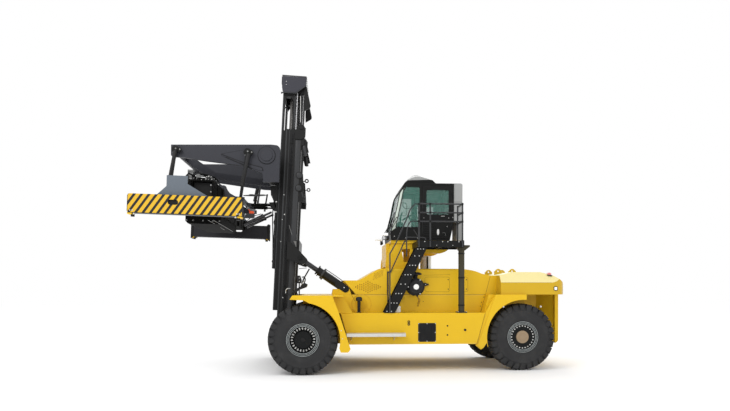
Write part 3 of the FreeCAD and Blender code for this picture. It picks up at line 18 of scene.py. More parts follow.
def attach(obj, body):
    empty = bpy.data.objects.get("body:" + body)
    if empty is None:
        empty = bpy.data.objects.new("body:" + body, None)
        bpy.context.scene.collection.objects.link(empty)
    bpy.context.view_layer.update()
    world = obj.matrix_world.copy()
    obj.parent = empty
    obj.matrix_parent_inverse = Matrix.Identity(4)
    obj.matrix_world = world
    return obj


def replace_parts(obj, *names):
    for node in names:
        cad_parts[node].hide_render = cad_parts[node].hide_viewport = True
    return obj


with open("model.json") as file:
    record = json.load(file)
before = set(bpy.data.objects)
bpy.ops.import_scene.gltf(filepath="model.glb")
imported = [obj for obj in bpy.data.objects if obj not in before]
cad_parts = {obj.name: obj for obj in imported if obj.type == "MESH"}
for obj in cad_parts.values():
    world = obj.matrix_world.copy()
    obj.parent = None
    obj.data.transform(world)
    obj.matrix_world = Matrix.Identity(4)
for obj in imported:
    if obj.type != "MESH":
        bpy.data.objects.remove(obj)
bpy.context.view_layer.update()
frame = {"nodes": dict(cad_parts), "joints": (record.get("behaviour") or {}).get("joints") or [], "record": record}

log = logging.getLogger("truck")

Point = tuple[float, float, float]
Flat = tuple[float, float]
Colour = tuple[float, float, float]

PIN_LENGTH = 0.075

# ------------------------------------------------------------------ names


class Body(Enum):
    """The moving bodies that pieces ride on."""

    CHASSIS = "chassis"
    LEFT_FRONT_WHEEL = "left_front_wheel"
    RIGHT_FRONT_WHEEL = "right_front_wheel"
    LEFT_REAR_WHEEL = "left_rear_wheel"
    RIGHT_REAR_WHEEL = "right_rear_wheel"
    DOOR = "cab_door"
    OUTER_MAST = "outer_mast"
    INNER_MAST = "inner_mast"
    CARRIAGE = "carriage"
    SPREADER = "spreader"
    NEAR_BEAM = "near_telescope"
    FAR_BEAM = "far_telescope"
    TILT_BARRELS = "tilt_barrels"


class Axis(Enum):
    """The axes that turned and drawn pieces run along."""

    X = "X"
    Y = "Y"
    Z = "Z"


class Side(Enum):
    """The truck's sides, each with the sign of Y on it."""

    LEFT = -1
    RIGHT = 1


# ------------------------------------------------------------------ shader maths


class Socket:
    """A shader value that takes part in arithmetic."""

    def __init__(self, graph: "Graph", link: bpy.types.NodeSocket) -> None:
        """Wrap an output socket of a graph."""
        self.graph = graph
        self.link = link

    def _maths(self, operation: str, first: object, second: object | None = None) -> "Socket":
        """Add one Math node and return its result."""
        values = {0: first} if second is None else {0: first, 1: second}
        return self.graph.node("ShaderNodeMath", {"operation": operation}, values)

    def __add__(self, other: object) -> "Socket":
        """Sum."""
        return self._maths("ADD", self, other)

    __radd__ = __add__

    def __sub__(self, other: object) -> "Socket":
        """Difference."""
        return self._maths("SUBTRACT", self, other)

    def __rsub__(self, other: object) -> "Socket":
        """Difference from a number."""
        return self._maths("SUBTRACT", other, self)

    def __mul__(self, other: object) -> "Socket":
        """Product."""
        return self._maths("MULTIPLY", self, other)

    __rmul__ = __mul__

    def __truediv__(self, other: object) -> "Socket":
        """Quotient."""
        return self._maths("DIVIDE", self, other)

    def __rtruediv__(self, other: object) -> "Socket":
        """A number over this value."""
        return self._maths("DIVIDE", other, self)

    def __abs__(self) -> "Socket":
        """Size without sign."""
        return self._maths("ABSOLUTE", self)

    def __lt__(self, other: object) -> "Socket":
        """1 where this value is smaller, else 0."""
        return self._maths("LESS_THAN", self, other)

    def __gt__(self, other: object) -> "Socket":
        """1 where this value is larger, else 0."""
        return self._maths("GREATER_THAN", self, other)

    def fraction(self) -> "Socket":
        """The part after the decimal point."""
        return self._maths("FRACT", self)

    def ramp(self, low: float, high: float) -> "Socket":
        """Rise smoothly from 0 at low to 1 at high.

        Args:
            low: the value that gives 0.
            high: the value that gives 1.

        Returns:
            The eased value.
        """
        settings = {"interpolation_type": "SMOOTHSTEP"}
        values = {"Value": self, "From Min": low, "From Max": high, "To Min": 0.0, "To Max": 1.0}
        return self.graph.node("ShaderNodeMapRange", settings, values)


class Graph:
    """One material's node tree, with its Principled shader."""

    def __init__(self, name: str) -> None:
        """Start a material that holds a Principled shader alone."""
        self.material = bpy.data.materials.new(name)
        self.material.use_nodes = True
        self.tree = self.material.node_tree
        self.tree.nodes.clear()
        self.shader = self.tree.nodes.new("ShaderNodeBsdfPrincipled")
        self.output = self.tree.nodes.new("ShaderNodeOutputMaterial")
        self.tree.links.new(self.shader.outputs[0], self.output.inputs[0])
        self._place: Socket | None = None

    @staticmethod
    def _find(sockets: Iterable[bpy.types.NodeSocket], key: object) -> bpy.types.NodeSocket:
        """Find a socket by index, identifier or name."""
        rows = list(sockets)
        if isinstance(key, int):
            return rows[key]
        exact = [row for row in rows if row.identifier == key]
        return (exact or [row for row in rows if row.name == key and row.enabled])[0]

    def put(self, target: bpy.types.NodeSocket, value: object) -> None:
        """Link a value to a socket, or set it there if it is a constant.

        Args:
            target: the input socket.
            value: a Socket, a number, a colour or a vector.
        """
        if isinstance(value, Socket):
            self.tree.links.new(value.link, target)
        elif isinstance(value, tuple) and len(value) == 3 and target.type == "RGBA":
            target.default_value = (*value, 1.0)
        else:
            target.default_value = value

    def node(self, kind: str, settings: dict | None = None, values: dict | None = None,
             out: object = 0) -> Socket:
        """Add a node.

        Args:
            kind: the node's type.
            settings: its properties, and the stops of a ramp as (place, colour) rows.
            values: constants or links for its inputs, by name, identifier or index.
            out: which output to return.

        Returns:
            The chosen output.
        """
        made = self.tree.nodes.new(kind)
        for key, value in (settings or {}).items():
            if key == "stops":
                ramp = made.color_ramp
                while len(ramp.elements) < len(value):
                    ramp.elements.new(0.5)
                for element, (place, colour) in zip(ramp.elements, value):
                    element.position, element.color = place, (*colour, 1.0)
            else:
                setattr(made, key, value)
        for key, value in (values or {}).items():
            self.put(self._find(made.inputs, key), value)
        return Socket(self, self._find(made.outputs, out))

    def place(self) -> Socket:
        """Places on the piece at rest, in metres."""
        if self._place is None:
            self._place = self.node("ShaderNodeTexCoord", out="Object")
        return self._place

    def parts(self) -> tuple[Socket, Socket, Socket]:
        """The place's x, y and z."""
        split = self.node("ShaderNodeSeparateXYZ", values={0: self.place()})
        outputs = split.link.node.outputs
        return tuple(Socket(self, outputs[index]) for index in range(3))

    def stretched(self, x: float, y: float, z: float) -> Socket:
        """The place, scaled along each axis."""
        return self.node("ShaderNodeVectorMath", {"operation": "MULTIPLY"}, {0: self.place(), 1: (x, y, z)})

    def noise(self, scale: float, detail: float = 3.0, roughness: float = 0.55,
              at: Socket | None = None) -> Socket:
        """A noise texture's value.

        Args:
            scale: its scale, per metre.
            detail: its octaves.
            roughness: how strong the fine octaves are.
            at: where to read it, if not at the plain place.

        Returns:
            The noise, from 0 to 1.
        """
        values = {"Vector": at or self.place(), "Scale": scale, "Detail": detail, "Roughness": roughness}
        return self.node("ShaderNodeTexNoise", values=values)

    def blend(self, share: object, first: object, second: object, how: str = "MIX") -> Socket:
        """Mix two colours.

        Args:
            share: how much of the second, from 0 to 1.
            first: the first colour.
            second: the second colour.
            how: the blend type.

        Returns:
            The mixed colour.
        """
        settings = {"data_type": "RGBA", "blend_type": how, "clamp_factor": True}
        values = {"Factor_Float": share, "A_Color": first, "B_Color": second}
        return self.node("ShaderNodeMix", settings, values, out="Result_Color")

    def bump(self, height: Socket, strength: float, distance: float) -> None:
        """Raise the surface by a height.

        Args:
            height: the height, from 0 to 1.
            strength: the bump's strength.
            distance: metres from the lowest to the highest.
        """
        values = {"Strength": strength, "Distance": distance, "Height": height}
        self.set("Normal", self.node("ShaderNodeBump", values=values))

    def set(self, name: str, value: object) -> None:
        """Set or link one socket of the Principled shader."""
        self.put(self._find(self.shader.inputs, name), value)


# ------------------------------------------------------------------ finishes


class Finish(Protocol):
    """What every finish offers."""

    name: str
    slot: str

    def build(self) -> bpy.types.Material:
        """Make the material."""


@dataclass(frozen=True)
class Paint:
    """Sprayed enamel on steel, with soft dirt low down and in streaks, and, where asked, upward faces painted pale
    yellow as a painted highlight.
    """

    name: str
    colour: Colour
    slot: str
    roughness: float = 0.34
    coat: float = 0.04
    dust: float = 0.35
    dust_top: float = 1.5
    dust_colour: Colour = (0.3, 0.19, 0.06)
    shift: float = 0.05
    gloss: float = 0.16
    # How far upward faces are blended towards pale yellow: a painted highlight on the tops.
    painted_top_highlight: float = 0.0

    def base(self, graph: Graph) -> object:
        """The paint's own colour, before dirt."""
        return self.colour

    def build(self) -> bpy.types.Material:
        """Make the material.

        Returns:
            The finished material.
        """
        graph = Graph(self.name)
        height = graph.parts()[2]
        cloud = graph.noise(0.9, 4.0)
        fine = graph.noise(38.0, 2.0)
        streak = graph.noise(1.0, 5.0, 0.6, graph.stretched(9.0, 9.0, 0.9))
        darker = tuple(value * (1.0 - 2.2 * self.shift) for value in self.colour)
        body = graph.blend(cloud.ramp(0.35, 0.75) * self.shift * 6.0, self.base(graph), darker, "MIX")
        low = 1.0 - height.ramp(0.25, self.dust_top)
        dirt = (low * 0.8 + streak.ramp(0.52, 0.82) * 0.35) * cloud.ramp(0.2, 0.7) * self.dust
        coloured = graph.blend(dirt, body, self.dust_colour)
        # Faces that point upwards turn pale yellow: a painted highlight on the tops.
        if self.painted_top_highlight:
            facing = graph.node("ShaderNodeNewGeometry", out="Normal")
            split = graph.node("ShaderNodeSeparateXYZ", values={0: facing}, out=2)
            coloured = graph.blend(split.ramp(0.3, 0.82) * self.painted_top_highlight, coloured, (1.0, 1.0, 0.62))
        graph.set("Base Color", coloured)
        graph.set("Roughness", self.roughness + dirt * 0.5 + (fine - 0.5) * 0.06)
        graph.set("Specular IOR Level", self.gloss)
        graph.set("Coat Weight", self.coat)
        graph.set("Coat Roughness", 0.12)
        graph.bump(graph.noise(170.0, 1.0), 0.1, 0.0008)
        return graph.material


@dataclass(frozen=True)
class Stripes(Paint):
    """Hazard stripes on a beam's outer faces, with plain paint above it, in the spreader's own frame; the beam's
    inner faces and the booms are painted dark as painted shade.
    """

    # The dark of the stripes, which also covers the beam's inner faces as painted shade.
    dark: Colour = (0.022, 0.022, 0.025)
    plate: Colour = (0.125, 0.145, 0.17)
    origin: Flat = (0.0, 0.0)
    pitch: float = 0.0
    period: float = 0.1535
    slope: float = 0.68
    share: float = 0.43
    face: float = 3.024
    beam_top: float = 0.414
    pedestal: float = 2.78
    # Near-black over the booms between the end beams: painted shade.
    boom_shade: Colour = (0.012, 0.012, 0.012)

    def base(self, graph: Graph) -> Socket:
        """Yellow and dark bands up to the beam's top, plate paint over it, and painted shade: the dark colour over
        the inner faces and near-black over the booms.
        """
        x, y, z = graph.parts()
        ahead, above = x - self.origin[0], z - self.origin[1]
        cosine, sine = math.cos(self.pitch), math.sin(self.pitch)
        along = ahead * cosine - above * sine
        rise = ahead * sine + above * cosine
        ragged = (graph.noise(60.0, 1.0) - 0.5) * 0.01
        band = ((along - rise * self.slope + ragged) / self.period).fraction() < self.share
        # Off the outer faces there are no stripes: the inner faces take the dark colour whole, as painted shade.
        outside = (abs(y) > self.face) * (rise > 0.002)
        striped = graph.blend(1.0 - (1.0 - band) * outside, self.colour, self.dark)
        # Everything inboard of the end beams, the booms, takes the near-black: painted shade.
        boom_shade_mask = abs(y) < self.pedestal
        return graph.blend(boom_shade_mask, graph.blend(rise > self.beam_top, striped, self.plate), self.boom_shade)


@dataclass(frozen=True)
class Rubber:
    """Tyre rubber: matt, a little brown with dust, with fine moulded grain."""

    name: str = "tyre_rubber"
    slot: str = "tyre"
    colour: Colour = (0.026, 0.026, 0.027)
    dust_colour: Colour = (0.06, 0.06, 0.06)

    def build(self) -> bpy.types.Material:
        """Make the material."""
        graph = Graph(self.name)
        cloud = graph.noise(3.0, 5.0, 0.65)
        grain = graph.noise(240.0, 2.0)
        dusty = cloud.ramp(0.42, 0.78) * 0.55
        graph.set("Base Color", graph.blend(dusty, self.colour, self.dust_colour))
        graph.set("Roughness", 0.72 + dusty * 0.3)
        graph.set("Specular IOR Level", 0.22)
        graph.bump(grain + cloud * 2.0, 0.25, 0.002)
        return graph.material


@dataclass(frozen=True)
class Metal:
    """Bare or plated metal."""

    name: str
    slot: str
    colour: Colour
    roughness: float = 0.3
    blotch: float = 0.12
    metallic: float = 1.0
    stain: Colour = (0.1, 0.07, 0.05)
    stain_share: float = 0.0

    def build(self) -> bpy.types.Material:
        """Make the material."""
        graph = Graph(self.name)
        cloud = graph.noise(6.0, 4.0)
        brushed = graph.noise(1.0, 3.0, 0.6, graph.stretched(14.0, 14.0, 220.0))
        stained = cloud.ramp(0.5, 0.8) * self.stain_share
        graph.set("Base Color", graph.blend(stained, self.colour, self.stain))
        graph.set("Metallic", self.metallic - stained * 0.8 * self.metallic)
        graph.set("Roughness", self.roughness + (cloud - 0.5) * self.blotch + stained * 0.3)
        graph.bump(brushed, 0.05, 0.0006)
        return graph.material


@dataclass(frozen=True)
class Casting:
    """Rough cast or greasy machinery under dark paint."""

    name: str
    slot: str
    colour: Colour
    roughness: float = 0.6

    def build(self) -> bpy.types.Material:
        """Make the material."""
        graph = Graph(self.name)
        cloud = graph.noise(5.0, 5.0, 0.6)
        sand = graph.noise(120.0, 3.0)
        brown = tuple(value * 0.9 + extra for value, extra in zip(self.colour, (0.016, 0.012, 0.008)))
        graph.set("Base Color", graph.blend(cloud.ramp(0.4, 0.75) * 0.7, self.colour, brown))
        graph.set("Roughness", self.roughness + (cloud - 0.5) * 0.35)
        graph.set("Specular IOR Level", 0.2)
        graph.bump(sand + cloud, 0.35, 0.002)
        return graph.material


@dataclass(frozen=True)
class Moulding:
    """Grained plastic or rubber trim."""

    name: str
    slot: str
    colour: Colour
    roughness: float = 0.5

    def build(self) -> bpy.types.Material:
        """Make the material."""
        graph = Graph(self.name)
        grain = graph.node("ShaderNodeTexVoronoi", values={"Vector": graph.place(), "Scale": 260.0})
        cloud = graph.noise(4.0, 3.0)
        paler = tuple(min(1.0, value * 1.25 + 0.008) for value in self.colour)
        graph.set("Base Color", graph.blend(cloud.ramp(0.35, 0.7) * 0.6, self.colour, paler))
        graph.set("Roughness", self.roughness + (cloud - 0.5) * 0.12)
        graph.set("Specular IOR Level", 0.2)
        graph.bump(grain, 0.2, 0.0008)
        return graph.material


@dataclass(frozen=True)
class Glazing:
    """Green tinted cab glass, with light patches of dusty haze."""

    name: str = "tinted_glass"
    slot: str = "glass"
    colour: Colour = (0.09, 0.25, 0.2)
    alpha: float = 0.34

    def build(self) -> bpy.types.Material:
        """Make the material."""
        graph = Graph(self.name)
        film = graph.noise(2.2, 4.0, 0.6, graph.stretched(1.0, 1.0, 0.5))
        haze = film.ramp(0.45, 0.8)
        graph.set("Base Color", graph.blend(haze * 0.5, self.colour, (0.2, 0.3, 0.27)))
        graph.set("Roughness", 0.04 + haze * 0.05)
        graph.set("Alpha", self.alpha + haze * 0.05)
        graph.set("Specular IOR Level", 0.6)
        return graph.material


@dataclass(frozen=True)
class Lens:
    """A lamp's coloured lens, with ribs moulded behind it."""

    name: str
    slot: str
    colour: Colour
    glow: float = 0.15

    def build(self) -> bpy.types.Material:
        """Make the material."""
        graph = Graph(self.name)
        x, y, z = graph.parts()
        ribs = ((x + y + z) * 90.0).fraction()
        graph.set("Base Color", graph.blend(ribs * 0.35, self.colour, (1.0, 0.95, 0.9)))
        graph.set("Roughness", 0.12)
        graph.set("Coat Weight", 1.0)
        graph.set("Emission Color", self.colour)
        graph.set("Emission Strength", self.glow)
        graph.bump(ribs, 0.3, 0.001)
        return graph.material


@dataclass(frozen=True)
class Cloth:
    """Woven seat cloth: crossed threads with soft sheen."""

    name: str = "seat_cloth"
    slot: str = "fabric"
    colour: Colour = (0.03, 0.031, 0.034)
    thread: float = 420.0

    def build(self) -> bpy.types.Material:
        """Make the material."""
        graph = Graph(self.name)
        x, y, z = graph.parts()
        weave = {"wave_type": "BANDS", "bands_direction": "X"}
        along = graph.node("ShaderNodeTexWave", weave, {"Vector": graph.place(), "Scale": self.thread / 6.0})
        weave = {"wave_type": "BANDS", "bands_direction": "Y"}
        across = graph.node("ShaderNodeTexWave", weave, {"Vector": graph.place(), "Scale": self.thread / 6.0})
        knit = along * across
        paler = tuple(value * 2.2 for value in self.colour)
        graph.set("Base Color", graph.blend(knit * 0.7, self.colour, paler))
        graph.set("Roughness", 0.86 - knit * 0.1)
        graph.set("Sheen Weight", 0.35)
        graph.bump(knit + graph.noise(9.0, 2.0) * 0.4, 0.4, 0.001)
        return graph.material


@dataclass(frozen=True)
class Seat:
    """A frame of a part of the truck, in which its pieces are drawn in metres."""

    x: float
    y: float
    z: float
    pitch: float = 0.0

    def matrix(self) -> Matrix:
        """The frame as a matrix."""
        return Matrix.Translation((self.x, self.y, self.z)) @ Matrix.Rotation(self.pitch, 4, "Y")


class Datum:
    """Places that the pieces are measured from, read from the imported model."""

    def __init__(self) -> None:
        """Read the joints and mounts."""
        joints = {row["name"]: row for row in frame["joints"]}
        self.front_axle = Vector(joints["left_front_spin"]["pos_m"])
        self.rear_axle = Vector(joints["left_rear_spin"]["pos_m"])
        self.front_y = abs(self.front_axle.y)
        self.rear_y = abs(self.rear_axle.y)
        pivot = joints["mast_tilt"]["pos_m"]
        lift = joints["mast_lift"]["axis"]
        self.mast = Seat(pivot[0], 0.0, pivot[2], math.atan2(lift[0], lift[2]))
        self.chassis = Seat(self.front_axle.x, 0.0, 0.0)
        pins = [row for row in frame["record"]["mounts"] if row["kind"] == "pin"]
        lean = math.asin(-pins[0]["axis"][0])
        x = sum(row["pos_m"][0] for row in pins) / len(pins)
        z = sum(row["pos_m"][2] for row in pins) / len(pins)
        rise = PIN_LENGTH / 2
        self.spreader = Seat(x + rise * math.sin(lean), 0.0, z + rise * math.cos(lean), lean)

    def seat_for(self, body: Body) -> Seat:
        """The frame that a body's pieces are drawn in."""
        if body in (Body.OUTER_MAST, Body.INNER_MAST):
            return self.mast
        if body in (Body.CARRIAGE, Body.SPREADER, Body.NEAR_BEAM, Body.FAR_BEAM):
            return self.spreader
        return self.chassis


class Palette:
    """Every finish on the truck, each made once."""

    def __init__(self, datum: Datum) -> None:
        """Mix the finishes, with the beams' stripes set out from the spreader's seat."""
        self._made: dict[str, bpy.types.Material] = {}
        yellow = (0.735, 0.462, 0.016)
        self.yellow = Paint("yellow_enamel", yellow, "yellow_paint", dust=0.16)
        # The counterweight's upward faces are painted pale yellow: a painted highlight.
        self.pale_yellow = Paint("weight_enamel", (0.61, 0.385, 0.018), "yellow_paint", dust=0.16, painted_top_highlight=1.0)
        # Yellow darkened towards brown for the chassis frame under the bodywork: painted shade.
        self.frame_shaded_yellow = Paint("frame_enamel", (0.38, 0.2, 0.012), "yellow_paint", 0.42, 0.0, 0.5)
        self.shaded_yellow = Paint("shaded_enamel", (0.67, 0.4, 0.012), "yellow_paint", 0.45, 0.0, 0.4)
        self.shadow_brown = Moulding("shadowed_slot", "yellow_paint", (0.22, 0.085, 0.012), 0.7)
        self.gap = Moulding("panel_gap", "yellow_paint", (0.16, 0.075, 0.008), 0.7)
        # Paler yellow for thin strips along panel edges: a painted highlight.
        self.edge_highlight = Paint("edge_enamel", (0.74, 0.5, 0.07), "yellow_paint", 0.4, 0.0, 0.1)
        self.tan = Moulding("tan_pipe", "yellow_paint", (0.2, 0.09, 0.035), 0.5)
        dark = dict(gloss=0.17, dust_colour=(0.04, 0.036, 0.028), shift=0.03)
        self.black = Paint("black_enamel", (0.0066, 0.007, 0.0067), "black_paint", 0.46, 0.01, 0.2, **dark)
        self.mast = Paint("mast_enamel", (0.0112, 0.0112, 0.0112), "black_paint", 0.38, 0.03,
                          0.2, 2.6, **dark)
        # Lighter grey than the mast: worn guide strips, and also a painted highlight on the mast's flanges, rear
        # band, caps and rails.
        self.guide = Paint("guide_enamel", (0.04, 0.041, 0.043), "black_paint", 0.34, 0.05, 0.1, **dark)
        self.head = Paint("head_enamel", (0.041, 0.041, 0.051), "black_paint", 0.45, 0.0, 0.1, **dark)
        self.grey = Paint("spreader_enamel", (0.037, 0.038, 0.046), "grey_paint", 0.45, 0.02, 0.1, **dark)
        # Near-black, darker than the black enamel, for the spreader's frame and hydraulics seen from below:
        # painted shade.
        self.under = Paint("underside_enamel", (0.0046, 0.0046, 0.0043), "grey_paint", 0.75, 0.0, 0.15, 4.0,
                           gloss=0.05, dust_colour=(0.02, 0.017, 0.012), shift=0.05)
        self.beam = Stripes("hazard_stripes", (0.66, 0.4, 0.03), "grey_paint", 0.45, 0.02, 0.0,
                            gloss=0.15, shift=0.0,
                            origin=(datum.spreader.x, datum.spreader.z), pitch=datum.spreader.pitch)
        self.pale = Paint("unit_enamel", (0.33, 0.335, 0.33), "light_grey", 0.4, 0.02, 0.2, gloss=0.2,
                          dust_colour=(0.2, 0.2, 0.19))
        self.hump = Paint("hump_enamel", (0.37, 0.375, 0.37), "light_grey", 0.4, 0.02, 0.1, gloss=0.2,
                          dust_colour=(0.2, 0.2, 0.19))
        self.rim = Paint("rim_enamel", (0.0095, 0.0105, 0.0105), "rim", 0.6, 0.0, 0.15, 1.6, gloss=0.1,
                         dust_colour=(0.03, 0.029, 0.027))
        self.rim_edge = Paint("rim_edge_enamel", (0.38, 0.41, 0.41), "rim", 0.4, 0.0, 0.2, 1.6,
                              gloss=0.2, dust_colour=(0.12, 0.12, 0.12))
        self.hub = Casting("hub_casting", "rim", (0.3, 0.22, 0.14), 0.55)
        self.rubber = Rubber()
        self.chrome = Metal("polished_rod", "chrome", (0.72, 0.73, 0.75), 0.14)
        self.zinc = Metal("zinc_plate", "steel", (0.62, 0.62, 0.6), 0.38, 0.2, 0.85, (0.35, 0.33, 0.28), 0.5)
        self.dull = Metal("dull_plate", "steel", (0.26, 0.26, 0.255), 0.5, 0.2, 0.6, (0.12, 0.11, 0.09), 0.5)
        self.chain = Metal("greased_chain", "steel", (0.12, 0.115, 0.11), 0.4, 0.3, 0.9,
                           (0.03, 0.025, 0.02), 0.8)
        self.iron = Casting("dark_casting", "iron", (0.02, 0.02, 0.021))
        self.exhaust = Metal("exhaust_sheet", "light_grey", (0.84, 0.93, 1.0), 0.5, 0.1, 0.0,
                             (0.6, 0.62, 0.66), 0.2)
        self.post = Paint("post_enamel", (0.046, 0.041, 0.024), "black_paint", 0.45, 0.0, 0.1, **dark)
        self.rod = Metal("black_rod", "black_paint", (0.03, 0.03, 0.032), 0.22, 0.1, 0.4)
        self.glass = Glazing()
        # Pale, nearly opaque glass for the windscreen's curved corners: a painted reflection.
        self.painted_reflection_glass = Glazing("corner_glass", "glass", (0.66, 0.74, 0.66), 0.84)
        self.bright_chain = Metal("bright_chain", "steel", (0.45, 0.45, 0.46), 0.4, 0.2, 0.6,
                                  (0.05, 0.05, 0.05), 0.4)
        self.cloth = Cloth()
        self.plastic = Moulding("dark_plastic", "plastic", (0.014, 0.014, 0.015))
        self.seal = Moulding("window_seal", "black_paint", (0.007, 0.007, 0.007), 0.65)
        self.hose = Moulding("hose_rubber", "black_paint", (0.01, 0.01, 0.011), 0.42)
        self.white = Moulding("white_plastic", "light_grey", (0.8, 0.8, 0.78), 0.35)
        self.red = Lens("red_lens", "light_grey", (0.55, 0.012, 0.01))
        self.clear = Lens("clear_lens", "light_grey", (0.75, 0.77, 0.78), 0.3)
        self.orange = Moulding("orange_cap", "grey_paint", (0.62, 0.075, 0.02), 0.4)
        self.screen = Moulding("screen_glass", "plastic", (0.02, 0.035, 0.045), 0.12)

    def material(self, finish: Finish) -> bpy.types.Material:
        """The material of a finish, made the first time it is asked for.

        Args:
            finish: one of the finishes above.

        Returns:
            Its material.
        """
        if finish.name not in self._made:
            self._made[finish.name] = finish.build()
        return self._made[finish.name]

    def dress(self, finish: Finish, *nodes: str) -> None:
        """Give model nodes a finish.

        Args:
            finish: the finish.
            nodes: the names of the nodes.
        """
        for name in nodes:
            mesh = frame["nodes"][name].data
            for index in range(max(1, len(mesh.materials))):
                if index < len(mesh.materials):
                    mesh.materials[index] = self.material(finish)
                else:
                    mesh.materials.append(self.material(finish))
            log.info("dressed %s in %s", name, finish.name)


# ------------------------------------------------------------------ shaping


def bands(rings: int, count: int, closed: bool = False) -> list[tuple[int, ...]]:
    """Faces between rings of points that follow one another.

    Args:
        rings: how many rings.
        count: points in each ring.
        closed: whether the last ring joins the first.

    Returns:
        Rows of indices into the points.
    """
    rows = []
    for ring in range(rings if closed else rings - 1):
        near, far = ring * count, (ring + 1) % rings * count
        rows += [(near + i, near + (i + 1) % count, far + (i + 1) % count, far + i) for i in range(count)]
    return rows


def turns(count: int) -> list[float]:
    """The angles, in radians, that cut a full turn evenly."""
    return [2 * math.pi * step / count for step in range(count)]


def around(centre: Flat, radius: float, degrees: Iterable[float]) -> list[Flat]:
    """Places on a circle, as x and z."""
    angles = [math.radians(angle) for angle in degrees]
    return [(centre[0] + radius * math.cos(angle), centre[1] + radius * math.sin(angle)) for angle in angles]


def collar(start: float, length: float, inner: float, outer: float, slope: float) -> list[Flat]:
    """The outline, for turning, of a band with sloped edges.

    Args:
        start: where it starts along the axis.
        length: how long it is.
        inner: the radius of its feet.
        outer: the radius of its face.
        slope: the length of each sloped edge.

    Returns:
        Rows of distance along the axis and radius.
    """
    end = start + length
    return [(start, inner), (start + slope, outer), (end - slope, outer), (end, inner)]


def pin_cap(sign: float, start: float, edge: float, face: float, flat: float, radius: float) -> list[Flat]:
    """The outline, for turning, of a disc with a sloped rim.

    Args:
        sign: 1 for the axis's way, -1 for the other.
        start: where its back is.
        edge: where its rim starts to slope.
        face: where its face is.
        flat: the radius of its face.
        radius: the radius of its rim.

    Returns:
        Rows of distance along the axis and radius.
    """
    return [(sign * start, 0.0), (sign * face, 0.0), (sign * face, flat), (sign * edge, radius),
            (sign * start, radius)]


